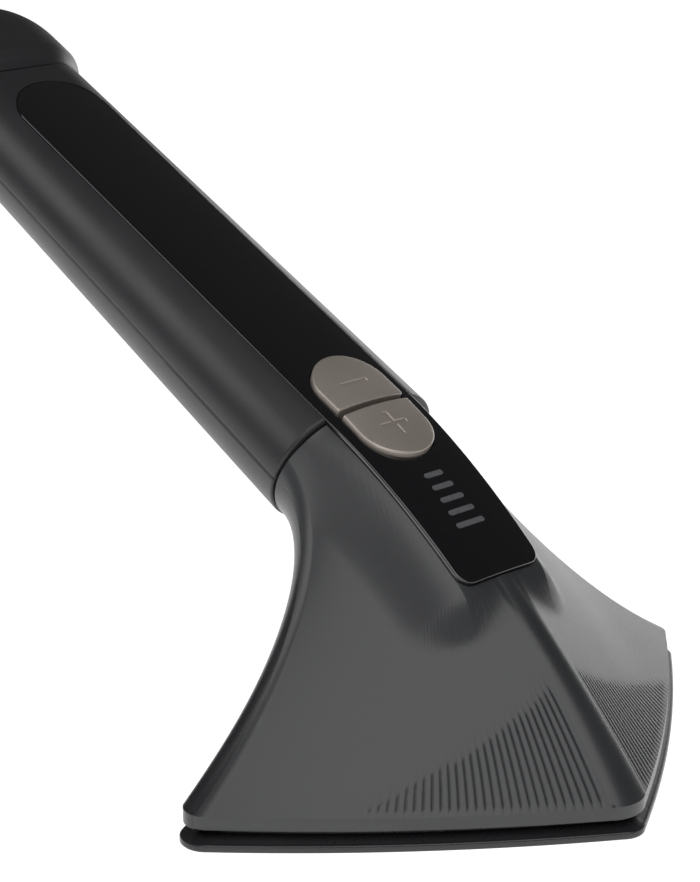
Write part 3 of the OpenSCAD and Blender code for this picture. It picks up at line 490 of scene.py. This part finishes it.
def prism(outline, z0, z1, place):
    """A straight-sided solid over an outline."""
    ends = [place(np.column_stack([outline, np.full(len(outline), z)])) for z in (z0, z1)]
    return tube_mesh(ends, ends=True)


def handle_place(p):
    return row_frame(from_top(p))


def join_meshes(parts):
    """One list of points and one of faces out of several."""
    verts, faces, base = [], [], 0
    for v, f in parts:
        verts.append(v)
        faces += [tuple(i + base for i in face) for face in f]
        base += len(v)
    return np.concatenate(verts), faces


BUTTON_R = BUTTON_W / 2
BUTTON_END = BUTTON_L + BUTTON_GAP / 2 - BUTTON_R
SLIP = 0.3
BUTTON_WELL = -13, 4
LED_COUNT, LED_S, LED_PITCH = 5, -29.3, 3.47
LED_BAR, LED_LONGEST, LED_SHORTER, LED_SLIP = 1.4, 8.0, 0.68, 0.07
LED_WELL = -5, 3


def led_cutters():
    """Slots of the panel over the light guide's bars, each shorter than the one below it."""
    parts = []
    a = float(top_slope(LED_S))
    for i in range(LED_COUNT):
        y, z = top_point(LED_S + (i - LED_COUNT // 2) * LED_PITCH)
        half = (LED_LONGEST - i * LED_SHORTER - LED_BAR) / 2
        outline = stadium(half, LED_BAR / 2, LED_SLIP, 16)[:, ::-1] * [1, -1]

        def place(p, y=float(y), z=float(z)):
            q = np.stack([p[:, 0], y + p[:, 1] * math.cos(a) - p[:, 2] * math.sin(a),
                          z + p[:, 1] * math.sin(a) + p[:, 2] * math.cos(a)], -1)
            return handle_place(q)

        parts.append(prism(outline, *LED_WELL, place))
    return parts


def button_cutter():
    """The opening that both buttons move in."""
    return prism(stadium(BUTTON_END, BUTTON_R, SLIP, 72), *BUTTON_WELL, handle_place)


# ---- Hood ------------------------------------------------------------------------------------
RIBS = 32
RIB_DEPTH = 0.17
# The ribs' share of the edge, their height in t beside the ridge, and the share of a pitch left flat
RIB_REACH, RIB_TOP, RIB_LAND = 0.72, 0.34, 0.45
BED_LOW = 1.2
BED_BLEND = 12.0
# Half width and stations of the skin that the bed may lift, and of the skin that it is fitted to
BED_NEAR, BED_NEAR_LOW, BED_NEAR_HIGH = 26, -64, 2
BED_FIT, BED_FIT_LOW, BED_FIT_HIGH = 14.5, -52, -0.5
HOOD_RIM = np.array([RIM_Z, RIM_Z + 0.25, HOOD_Z - 0.5, HOOD_Z - 0.12])
REAR_RIM = np.array([RIM_Z, RIM_Z + 0.25, HOOD_Z - 0.4])
RIM_ROUND = 0.25
NECK_LAP = np.array([0.45, 3.0])
NECK_WALL = 2.0


def terms(x, s):
    """Terms of the smooth surface fitted to the skin, even in x."""
    x, s = np.abs(x) / 12, s / 50
    return np.stack([x ** i * s ** j for i in range(5) for j in range(4)], -1)


def raise_bed(grid):
    """Lift the skin to a bed under the tongue of the panel, and blend the lift out around it."""
    flat = to_top(grid).reshape(-1, 3)
    near = np.where((np.abs(flat[:, 0]) < BED_NEAR) & (flat[:, 1] > BED_NEAR_LOW)
                    & (flat[:, 1] < BED_NEAR_HIGH))[0]
    q = flat[near]
    dist = np.hypot(q[:, 1, None] - LINE[None, ::10, 1], q[:, 2, None] - LINE[None, ::10, 2])
    s = LINE_S[::10][np.argmin(dist, axis=1)]
    a = top_slope(s)
    y0, z0 = top_point(s)
    z = -(q[:, 1] - y0) * np.sin(a) + (q[:, 2] - z0) * np.cos(a)
    fit = (np.abs(q[:, 0]) < BED_FIT) & (s > BED_FIT_LOW) & (s < BED_FIT_HIGH)
    skin = np.linalg.lstsq(terms(q[fit, 0], s[fit]), z[fit], rcond=None)[0]
    sc = np.clip(s, -TONGUE_LEN, BED_FIT_HIGH)
    half = panel_width(np.maximum(sc, TONGUE_CORNER - TONGUE_LEN))
    xc = np.minimum(np.abs(q[:, 0]), half)
    target = -BED_LOW - crown(xc)
    lift = np.maximum(target - terms(xc, sc) @ skin, 0)
    d = np.hypot(np.abs(q[:, 0]) - xc, sc - np.minimum(s, sc))
    share = np.clip(d / BED_BLEND, 0, 1)
    lift *= (1 - share) ** 2 * (1 + 2 * share)
    flat[near] = q + np.stack([0 * lift, -np.sin(a) * lift, np.cos(a) * lift], -1)
    return from_top(flat).reshape(grid.shape)


def rib_depth(t, k):
    """Depth of the grooves near the rim: one groove per pitch, longest beside the ridge."""
    e = np.clip(k - 1, 0, 1)
    phase = (e / RIB_REACH * RIBS) % 1.0
    land = np.abs(phase - 0.5) * 2
    groove = np.clip((land - RIB_LAND) / (1 - RIB_LAND), 0, 1) ** 1.6
    zone = np.where((k > 1.0) & (e < RIB_REACH), 1.0, 0.0)
    top = RIB_TOP * np.clip(1 - e / RIB_REACH, 0, 1) ** 0.8
    run = np.clip((top[None] - t[:, None]) / 0.06, 0, 1) * np.clip((t[:, None] - 0.004) / 0.01, 0, 1)
    return RIB_DEPTH * groove[None] * zone[None] * run


def surface_normals(grid):
    a = np.gradient(grid, axis=0)
    b = np.gradient(grid, axis=1)
    n = np.cross(a, b)
    return n / np.maximum(np.linalg.norm(n, axis=2, keepdims=True), 1e-9)


def make_hood():
    edge = np.concatenate([np.linspace(0, RIB_REACH, RIBS * 6 + 1), np.linspace(RIB_REACH, 1, 40)[1:]])
    k = np.concatenate([np.linspace(0, 1, 14)[:-1], 1 + edge, np.linspace(2, 3, 14)[1:]])
    t = np.unique(np.concatenate([np.linspace(0, 0.36, 34), np.linspace(0.36, 1, 70)]))
    outer = head_rows(t, k, 0.0, True)
    n = surface_normals(outer)
    centre = np.array([0.0, 30.0, 20.0])
    sign = np.sign(np.sum(n * (outer - centre), axis=2).mean())
    outer = raise_bed(outer)
    outer = outer - sign * n * rib_depth(t, k)[..., None]
    rim = np.repeat(outer[:1], len(HOOD_RIM), axis=0)
    rim[:, :, 2] = HOOD_RIM[:, None]
    away = rim[0] - [0, 35, 0]
    away = away / np.linalg.norm(away[:, :2], axis=1)[:, None]
    rim[0, :, :2] -= RIM_ROUND * away[:, :2]
    stub = neck_rows(NECK_LAP, k, HANDLE_WALL + SLIP, True)
    outer = np.concatenate([rim, outer, stub])
    inner = head_rows(t[:-12], k, HEAD_WALL, True)
    low = np.repeat(inner[:1], len(HOOD_RIM), axis=0)
    low[:, :, 2] = HOOD_RIM[:, None]
    end = neck_rows(np.linspace(0.0, NECK_LAP[1], 14), k, HANDLE_WALL + SLIP + NECK_WALL, True)
    inner = np.concatenate([low, inner, end])
    verts, faces = wall_mesh(mirrored(outer), mirrored(inner))
    return new_object("hood_skin", row_frame(verts), faces, 40)


# ---- Rear shell ------------------------------------------------------------------------------
def make_rear():
    k = np.concatenate([np.linspace(0, 1, 24), np.linspace(1, 2, 60)[1:]])
    t = np.linspace(0, 1, 90)
    outer = head_rows(t, k, 0.0, False)
    rim = np.repeat(outer[:1], len(REAR_RIM), axis=0)
    rim[:, :, 2] = REAR_RIM[:, None]
    outer = np.concatenate([rim, outer, neck_rows(NECK_LAP, k, HANDLE_WALL + SLIP, False)])
    inner = head_rows(t[:-6], k, HEAD_WALL, False)
    low = np.repeat(inner[:1], len(REAR_RIM), axis=0)
    low[:, :, 2] = REAR_RIM[:, None]
    end = neck_rows(np.linspace(0.0, NECK_LAP[1], 8), k, HANDLE_WALL + SLIP + NECK_WALL, False)
    inner = np.concatenate([low, inner, end])

    def whole(grid):
        return np.concatenate([grid, grid[:, -2::-1] * [-1, 1, 1]], axis=1)

    verts, faces = wall_mesh(whole(outer), whole(inner))
    return new_object("rear_shell_skin", row_frame(verts), faces, 40)


# ---- Base frame ------------------------------------------------------------------------------
# How far in from the flange's outline, and how high, from the underside round the lip and the ledge
FRAME_PROFILE = [(0.35, 0), (0.12, 0.1), (0, 0.35), (0, 1.3), (0.05, 1.5), (0.18, 1.64), (0.34, 1.7),
                 (0.5, 1.68), (0.75, 1.76), (1.6, 2.12), (2.55, 2.52), (2.8, 2.56), (3.4, 2.56),
                 (3.4, 6.45), (3.55, 6.6), (4.85, 6.6), (5.0, 6.45), (5.0, 5.3), (11.0, 5.3),
                 (11.0, 0.3), (11.1, 0.08), (11.1, 0.0)]
FRAME_IN = 11.0


def make_frame():
    kf = np.concatenate([np.linspace(0, 1, 12), np.linspace(1, 2, 70)[1:], np.linspace(2, 3, 16)[1:]])
    kb = np.concatenate([np.linspace(0, 1, 16), np.linspace(1, 2, 50)[1:]])
    rings = []
    for i, z in FRAME_PROFILE:
        plan = flange_plan(min(i, FRAME_IN), kf, kb)
        rings.append(np.column_stack([plan, np.full(len(plan), z)]))
    verts, faces = tube_mesh(rings)
    return new_object("base_frame_ring", verts, faces, 30)


# ---- Handle ----------------------------------------------------------------------------------
# The flat of a section spans the angles whose cosine is under one part in this
FLAT_RATE = 10
SEAM_GROOVE, SEAM_ANGLE = 0.32, 0.028
SHELL_START, SHELL_ROUND = 0.6, 0.65
SHELL_TOP_IN = -4.3


def section(a, b, y, g, cz):
    """Points of a stadium section of half width a and half thickness b at angles g."""
    c = np.cos(g)
    x = (a - b) * np.clip(FLAT_RATE * c, -1, 1) + b * c
    return np.stack([x, np.full(len(g), y), cz + b * np.sin(g)], -1)


def section_angles(lo, hi):
    """Angles of a half section, closer together over its flat top or bottom."""
    flat = math.acos(1 / FLAT_RATE)
    dense = np.linspace(flat, math.pi - flat, 41)
    arcs = np.linspace(lo, hi, 145)
    g = np.unique(np.round(np.concatenate([arcs, dense if lo == 0 else -dense]), 5))
    return g[(g >= lo - 1e-6) & (g <= hi + 1e-6)]


def shell_end(y, lo, hi, r):
    """How far a section near a rounded end is set in."""
    d = np.minimum(np.minimum(y - lo, hi - y), r)
    return r - math.sqrt(max(r * r - (r - d) ** 2, 0))


def make_shell(name, upper):
    lo, hi = (0, math.pi) if upper else (-math.pi, 0)
    g = section_angles(lo, hi)
    edge = np.array([0.03, 0.1, 0.2])
    g = np.unique(np.concatenate([g, lo + edge * 0.25, hi - edge * 0.25]))
    ends = np.array([0.0, 0.05, 0.14, 0.28, 0.45, SHELL_ROUND])
    middle = np.linspace(SHELL_START + 1, HANDLE_LEN - 1, 90)
    y = np.unique(np.round(np.concatenate([SHELL_START + ends, HANDLE_LEN - ends, middle]), 4))
    near_seam = np.minimum(np.abs(g - lo), np.abs(hi - g))
    groove = SEAM_GROOVE * np.clip(1 - near_seam / SEAM_ANGLE, 0, 1) ** 0.8
    outer, inner = [], []
    for v in y:
        d = shell_end(v, SHELL_START, HANDLE_LEN, SHELL_ROUND)
        c = -half_t(v)
        p = section(half_w(v) - d, half_t(v) - d, v, g, c)
        mid = section(half_w(v) - d - 1, half_t(v) - d - 1, v, g, c)
        outer.append(p + (mid - p) * groove[:, None])
        q = section(half_w(v) - HANDLE_WALL, half_t(v) - HANDLE_WALL, v, g, c)
        if upper:
            q[:, 2] = np.minimum(q[:, 2], SHELL_TOP_IN)
        inner.append(q)
    verts, faces = wall_mesh(np.array(outer), np.array(inner))
    return new_object(name, handle_place(verts), faces, 32)


# The cap's rounded edges at the handle and at the socket, the groove in the socket, and the tube's bore
CAP_ROUND, MOUTH_ROUND = 0.6, 0.5
GROOVE_DEPTH, GROOVE_START, GROOVE_END, GROOVE_RUN = 0.35, 4, 5.6, 0.2
TUBE_BORE, TUBE_RUN, CAP_IN = 4.5, 4, 10


def make_cap():
    g = np.linspace(-math.pi, math.pi, 193)[:-1]
    end_r = SOCKET_R + 3
    rings = []
    w, h = half_w(HANDLE_LEN), half_t(HANDLE_LEN)

    def ring(d, y, m=1.0, grow=0.0):
        a = end_r + (w + grow - end_r) * m
        b = end_r + (h + grow - end_r) * m
        cz = TUBE_Z + (-h - TUBE_Z) * m
        return section(a - d, b - d, y, g, cz)

    start = HANDLE_LEN + CAP_GAP
    length = CAP_LEN - CAP_GAP
    rings += [ring(3.7, start), ring(0.9, start)]
    rings += [ring(CAP_ROUND - CAP_ROUND * math.sin(a), start + CAP_ROUND * (1 - math.cos(a)))
              for a in np.linspace(0.2, math.pi / 2, 6)]
    for v in np.concatenate([np.linspace(0.03, 0.9, 44), np.linspace(0.9, 0.985, 14)[1:]]):
        j = max(0, v - CAP_SHOULDER) / (1 - CAP_SHOULDER)
        m = math.sqrt(max(1 - j * j, 0))
        rings.append(ring(0, start + length * v, m, CAP_PROUD * float(ease(min(1, v / 0.16)))))
    end = HANDLE_LEN + CAP_LEN

    def circle(r, y):
        return np.stack([r * np.cos(g), np.full(len(g), y), TUBE_Z + r * np.sin(g)], -1)

    rings += [circle(end_r - 0.2, end - 0.08), circle(end_r - 0.6, end), circle(SOCKET_R + MOUTH_ROUND, end)]
    rings += [circle(SOCKET_R + MOUTH_ROUND * (1 - math.sin(a)), end - MOUTH_ROUND * (1 - math.cos(a)))
              for a in (0.5, 1.0, math.pi / 2)]
    steps = [(SOCKET_R, GROOVE_START), (SOCKET_R + GROOVE_DEPTH, GROOVE_START + GROOVE_RUN),
             (SOCKET_R + GROOVE_DEPTH, GROOVE_END - GROOVE_RUN), (SOCKET_R, GROOVE_END),
             (SOCKET_R, SOCKET_LEN), (TUBE_BORE, SOCKET_LEN),
             (TUBE_BORE, SOCKET_LEN + TUBE_RUN), (CAP_IN, SOCKET_LEN + TUBE_RUN)]
    rings += [circle(r, end - depth) for r, depth in steps]
    verts, faces = tube_mesh(rings)
    return new_object("end_cap_bulb", handle_place(verts), faces, 35)


# ---- Buttons ---------------------------------------------------------------------------------
def inset(outline, d):
    """A convex outline moved in by d, point for point."""
    before, after = np.roll(outline, 1, axis=0), np.roll(outline, -1, axis=0)
    t1, t2 = outline - before, after - outline
    t1 /= np.linalg.norm(t1, axis=1)[:, None]
    t2 /= np.linalg.norm(t2, axis=1)[:, None]
    n1, n2 = np.stack([-t1[:, 1], t1[:, 0]], -1), np.stack([-t2[:, 1], t2[:, 0]], -1)
    m = n1 + n2
    return outline + d * m / (np.sum(m * n1, axis=1))[:, None]


BUTTON_FILLET, BUTTON_CROWN_R, BUTTON_CORNER = 0.45, 60, 0.5
SIGN_ARM, SIGN_HALF, SIGN_DEPTH, SIGN_BEVEL = 3.7, 0.62, 0.26, 0.14
# Half length and half width of the top around a sign's bar that the fill stays out of
SIGN_KEEP, SIGN_KEEP_HALF = 4.0, 0.95
FILL_STEP = 0.55


def button_outline():
    """Outline of one button: a half circle, straight sides and two small corners at the gap."""
    g = np.linspace(0, math.pi, 73)
    top = np.stack([BUTTON_R * np.cos(g), BUTTON_END + BUTTON_R * np.sin(g)], -1)
    r, low = BUTTON_CORNER, BUTTON_GAP / 2
    corners = []
    for sx, a0 in ((-1, math.pi), (1, 1.5 * math.pi)):
        a = a0 + np.linspace(0, math.pi / 2, 7)
        corners.append(np.stack([sx * (BUTTON_R - r) + r * np.cos(a), low + r + r * np.sin(a)], -1))
    side = np.linspace(BUTTON_END - 0.8, low + r + 0.8, 6)
    left = np.stack([np.full(6, -BUTTON_R), side], -1)
    flat = np.stack([np.linspace(-BUTTON_R + r + 0.8, BUTTON_R - r - 0.8, 24), np.full(24, low)], -1)
    right = np.stack([np.full(6, BUTTON_R), side[::-1]], -1)
    return np.concatenate([top, left, corners[0], flat, corners[1], right])


def symbol(plus):
    """Outline of a minus sign, or of a plus sign, at the origin."""
    a, b = SIGN_ARM, SIGN_HALF
    if not plus:
        return np.array([(-a, -b), (a, -b), (a, b), (-a, b)], float)
    return np.array([(-a, -b), (-b, -b), (-b, -a), (b, -a), (b, -b), (a, -b),
                     (a, b), (b, b), (b, a), (-b, a), (-b, b), (-a, b)], float)


def make_button(name, plus):
    outline = button_outline()
    fall = math.atan(-float(top_point(-BUTTON_L)[1]) / BUTTON_L) if plus else 0.0
    fillet = BUTTON_FILLET
    sign = symbol(plus) + [0, BUTTON_END]
    inner_sign = inset(sign, SIGN_BEVEL)

    def height(p):
        arch = np.sqrt(BUTTON_CROWN_R ** 2 - p[:, 0] ** 2)
        return BUTTON_PROUD - BUTTON_CROWN_R + arch - p[:, 1] * math.tan(fall)

    rings = []
    for z in (-5.3, -3.0, -1.0):
        rings.append(np.column_stack([outline, np.full(len(outline), z)]))
    for a in np.linspace(0, math.pi / 2, 7):
        loop = inset(outline, fillet * (1 - math.cos(a)))
        rings.append(np.column_stack([loop, height(loop) - fillet * (1 - math.sin(a))]))
    count = len(outline)
    verts = np.concatenate(rings)
    index = np.arange(len(verts)).reshape(len(rings), count)
    faces = grid_faces(index, closed=True) + [tuple(map(int, index[0]))]
    last = rings[-1][:, :2]
    gx, gy = np.meshgrid(np.arange(-9, 9.01, FILL_STEP), np.arange(1.2, 16.3, FILL_STEP))
    fill = np.stack([gx.ravel(), gy.ravel()], -1)
    c = np.array([0, BUTTON_END])
    inside = (np.hypot(fill[:, 0], np.maximum(fill[:, 1] - BUTTON_END, 0)) < BUTTON_R - fillet - 0.4)
    inside &= fill[:, 1] > BUTTON_GAP / 2 + fillet + 0.3
    q = np.abs(fill - c)
    near_sign = (q[:, 0] < SIGN_KEEP) & (q[:, 1] < SIGN_KEEP_HALF)
    if plus:
        near_sign |= (q[:, 1] < SIGN_KEEP) & (q[:, 0] < SIGN_KEEP_HALF)
    fill = fill[inside & ~near_sign]
    points = np.concatenate([last, sign, inner_sign, fill])
    edges = [(i, (i + 1) % count) for i in range(count)]
    for base, n in ((count, len(sign)), (count + len(sign), len(sign))):
        edges += [(base + i, base + (i + 1) % n) for i in range(n)]
    out = delaunay_2d_cdt([Vector(p) for p in points], edges, [], 0, 1e-5)
    top_pts = np.array([tuple(v) for v in out[0]])
    z = height(top_pts)
    origin = out[3]
    low_ids = set(range(count + len(sign), count + 2 * len(sign)))
    z = z - SIGN_DEPTH * np.array([1.0 if low_ids & set(o) else 0.0 for o in origin])
    base = len(verts)
    verts = np.concatenate([verts, np.column_stack([top_pts, z])])
    faces += [tuple(int(i) + base for i in f) for f in out[2]]
    if plus:
        verts = verts * [1, -1, 1]
    return new_object(name, handle_place(verts), faces, 25)


# ---- Materials -------------------------------------------------------------------------------
def node(tree, kind, **values):
    n = tree.nodes.new(kind)
    for key, value in values.items():
        if key in n.inputs:
            n.inputs[key].default_value = value
        else:
            setattr(n, key, value)
    return n


CLOUD_SCALE, WEAR_SCALE, BUMP_HEIGHT = 38.0, 210.0, 0.0001
WEAR_FROM, WEAR_TO = 0.53, 0.62


def noise(tree, place, scale, detail=4.0, stretch=(1, 1, 1)):
    mapping = node(tree, "ShaderNodeMapping")
    mapping.inputs["Scale"].default_value = stretch
    tree.links.new(place, mapping.inputs["Vector"])
    n = node(tree, "ShaderNodeTexNoise", Scale=scale, Detail=detail)
    tree.links.new(mapping.outputs["Vector"], n.inputs["Vector"])
    return n.outputs["Fac"]


def spread(tree, value, lo, hi, a=0.3, b=0.7):
    n = node(tree, "ShaderNodeMapRange")
    for key, v in (("From Min", a), ("From Max", b), ("To Min", lo), ("To Max", hi)):
        n.inputs[key].default_value = v
    tree.links.new(value, n.inputs["Value"])
    return n.outputs["Result"]


def material(name, color, rough, vary=0.06, grain=900.0, bump=0.15, tint=0.08, wear=0.25, brush=(1, 1, 1),
             metal=0.0, coat=0.0, coat_rough=0.05, specular=0.5, sheen=0.0, passing=0.0):
    """A moulded, cast or drawn surface: uneven colour and roughness, fine grain and worn edges."""
    mat = bpy.data.materials.new(name)
    mat.use_nodes = True
    tree = mat.node_tree
    shader = tree.nodes["Principled BSDF"]
    place = node(tree, "ShaderNodeTexCoord").outputs["Object"]
    cloud = noise(tree, place, CLOUD_SCALE, 5.0, brush)
    fine = noise(tree, place, grain, 3.0, brush)
    shade = node(tree, "ShaderNodeMix", data_type="RGBA")
    shade.inputs["A"].default_value = [*(c * (1 - tint) for c in color), 1]
    shade.inputs["B"].default_value = [*(min(c * (1 + tint), 1) for c in color), 1]
    tree.links.new(spread(tree, cloud, 0, 1), shade.inputs["Factor"])
    worn = node(tree, "ShaderNodeMix", data_type="RGBA")
    edge = spread(tree, node(tree, "ShaderNodeNewGeometry").outputs["Pointiness"], 0, wear,
                  WEAR_FROM, WEAR_TO)
    broken = node(tree, "ShaderNodeMath", operation="MULTIPLY")
    tree.links.new(edge, broken.inputs[0])
    tree.links.new(spread(tree, noise(tree, place, WEAR_SCALE), 0.2, 1), broken.inputs[1])
    tree.links.new(broken.outputs[0], worn.inputs["Factor"])
    tree.links.new(shade.outputs["Result"], worn.inputs["A"])
    worn.inputs["B"].default_value = [*(min(c * 1.7 + 0.03, 1) for c in color), 1]
    tree.links.new(worn.outputs["Result"], shader.inputs["Base Color"])
    mixed = node(tree, "ShaderNodeMath", operation="ADD")
    tree.links.new(spread(tree, cloud, -vary / 2, vary / 2), mixed.inputs[0])
    tree.links.new(spread(tree, fine, rough - vary / 2, rough + vary / 2), mixed.inputs[1])
    tree.links.new(mixed.outputs[0], shader.inputs["Roughness"])
    if bump:
        relief = node(tree, "ShaderNodeBump", Strength=bump, Distance=BUMP_HEIGHT)
        tree.links.new(fine, relief.inputs["Height"])
        tree.links.new(relief.outputs["Normal"], shader.inputs["Normal"])
    shader.inputs["Metallic"].default_value = metal
    shader.inputs["Specular IOR Level"].default_value = specular
    shader.inputs["Coat Weight"].default_value = coat
    shader.inputs["Coat Roughness"].default_value = coat_rough
    shader.inputs["Sheen Weight"].default_value = sheen
    shader.inputs["Transmission Weight"].default_value = passing
    return mat


# Colour, roughness, its variation, scale of the grain and bump, then what differs from the usual
FINISHES = {
    "hood_plastic": (((0.032, 0.033, 0.035), 0.36, 0.05, 1500, 0.10), dict(coat=0.12, coat_rough=0.2)),
    "shell_plastic": (((0.020, 0.020, 0.022), 0.30, 0.06, 1300, 0.12), dict()),
    "plate_steel": (((0.62, 0.62, 0.63), 0.26, 0.1, 600, 0.2), dict(brush=(1, 14, 1), metal=1.0)),
    "gasket_silicone": (((0.24, 0.08, 0.05), 0.6, 0.1, 700, 0.3), dict()),
    "cast_aluminium": (((0.55, 0.56, 0.57), 0.48, 0.14, 420, 0.7), dict(metal=1.0)),
    "element_steel": (((0.32, 0.32, 0.33), 0.36, 0.14, 500, 0.3), dict(tint=0.25, metal=1.0)),
    "screw_steel": (((0.58, 0.58, 0.6), 0.3, 0.12, 800, 0.3), dict(metal=1.0)),
    "thermostat_ceramic": (((0.66, 0.62, 0.54), 0.55, 0.1, 700, 0.3), dict()),
    "mica_shield": (((0.42, 0.41, 0.37), 0.5, 0.16, 300, 0.4), dict(tint=0.2)),
    "tube_silicone": (((0.7, 0.67, 0.6), 0.42, 0.08, 600, 0.15), dict(passing=0.25)),
    "inlet_aluminium": (((0.6, 0.6, 0.62), 0.26, 0.1, 700, 0.2), dict(brush=(1, 1, 10), metal=1.0)),
    "handle_soft": (((0.018, 0.018, 0.020), 0.40, 0.06, 1700, 0.16), dict(sheen=0.04)),
    "panel_gloss": (((0.004, 0.004, 0.005), 0.10, 0.03, 900, 0.01), dict(coat=1.0, coat_rough=0.04)),
    "board_green": (((0.03, 0.17, 0.08), 0.34, 0.1, 500, 0.2), dict()),
    "light_guide_acrylic": (((0.11, 0.112, 0.12), 0.3, 0.06, 900, 0.08), dict()),
    "led_white": (((0.82, 0.8, 0.7), 0.4, 0.08, 900, 0.1), dict()),
    "switch_plastic": (((0.1, 0.1, 0.105), 0.45, 0.1, 800, 0.2), dict()),
    "button_bronze": (((0.42, 0.372, 0.33), 0.36, 0.08, 1900, 0.14), dict(tint=0.05, metal=0.5, wear=0.5)),
    "lead_insulation": (((0.4, 0.08, 0.05), 0.5, 0.1, 600, 0.2), dict()),
}
MATERIALS = {name: material(name, *plain, **extra) for name, (plain, extra) in FINISHES.items()}

for part in frame["record"]["subparts"]:
    obj = frame["nodes"][part["node"]]
    if not obj.material_slots:
        obj.data.materials.append(MATERIALS[part["material_slot"]])
    for s in obj.material_slots:
        s.material = MATERIALS[part["material_slot"]]


# ---- The pieces ------------------------------------------------------------------------------
def trim(obj, *parts):
    """Cut the parts, which don't touch each other, out of obj."""
    knife = new_object("cutter", *join_meshes(parts))
    cut(obj, knife)
    bpy.data.objects.remove(knife)


pocket = panel_solid(POCKET_SLIP, POCKET_TOP, PANEL_T + POCKET_UNDER, 0)
hood = make_hood()
for tool in (pocket, button_cutter()):
    trim(hood, tool)
piece(hood, "body", "hood_plastic", "hood")
piece(make_rear(), "body", "shell_plastic", "rear_shell")
piece(make_frame(), "body", "shell_plastic", "base_frame")
upper = make_shell("handle_upper", True)
for tool in (pocket, button_cutter()):
    trim(upper, tool)
piece(upper, "body", "handle_soft", "handle_upper_shell")
piece(make_shell("handle_lower", False), "body", "handle_soft", "handle_lower_shell")
piece(make_cap(), "body", "handle_soft", "end_cap")
panel = new_object("gloss_panel", *panel_solid(0.0, 0.0, PANEL_T, PANEL_FILLET))
trim(panel, button_cutter(), *led_cutters())
piece(panel, "body", "panel_gloss", "control_panel")
piece(make_button("minus_key", False), "minus_button", "button_bronze", "minus_button")
piece(make_button("plus_key", True), "plus_button", "button_bronze", "plus_button")


# ---- Floor, light and world ------------------------------------------------------------------
FLOOR_HALF = 3.0


def add_floor():
    h = FLOOR_HALF
    mesh = bpy.data.meshes.new("floor")
    mesh.from_pydata([(-h, -h, 0), (h, -h, 0), (h, h, 0), (-h, h, 0)], [], [(0, 1, 2, 3)])
    obj = bpy.data.objects.new("floor", mesh)
    scene.collection.objects.link(obj)
    mat = bpy.data.materials.new("floor_white")
    mat.use_nodes = True
    shader = mat.node_tree.nodes["Principled BSDF"]
    shader.inputs["Base Color"].default_value = (0.9, 0.9, 0.9, 1)
    shader.inputs["Roughness"].default_value = 0.9
    shader.inputs["Specular IOR Level"].default_value = 0.1
    shader.inputs["Emission Color"].default_value = (1, 1, 1, 1)
    shader.inputs["Emission Strength"].default_value = 0.8
    mesh.materials.append(mat)


def add_light(name, place, target, size, power, size_y=None):
    data = bpy.data.lights.new(name, "AREA")
    data.energy, data.size = power, size
    if size_y:
        data.shape, data.size_y = "RECTANGLE", size_y
    obj = bpy.data.objects.new(name, data)
    obj.location = place
    obj.rotation_euler = (Vector(target) - Vector(place)).to_track_quat("-Z", "Y").to_euler()
    scene.collection.objects.link(obj)


add_floor()
CENTRE = (0.0, 0.03, 0.05)
add_light("key", (-0.34, -0.46, 0.95), CENTRE, 1.15, 7.6, 1.15)
add_light("left", (-0.8, 0.55, 0.75), CENTRE, 0.7, 2.6, 0.5)
add_light("right", (0.98, 0.42, 0.24), CENTRE, 0.8, 2.0, 0.42)
world = bpy.data.worlds.new("studio")
world.use_nodes = True
world.node_tree.nodes["Background"].inputs["Color"].default_value = (0.62, 0.62, 0.63, 1)
world.node_tree.nodes["Background"].inputs["Strength"].default_value = 0.09
scene.world = world
scene.view_settings.view_transform = "Standard"

bpy.context.view_layer.update()
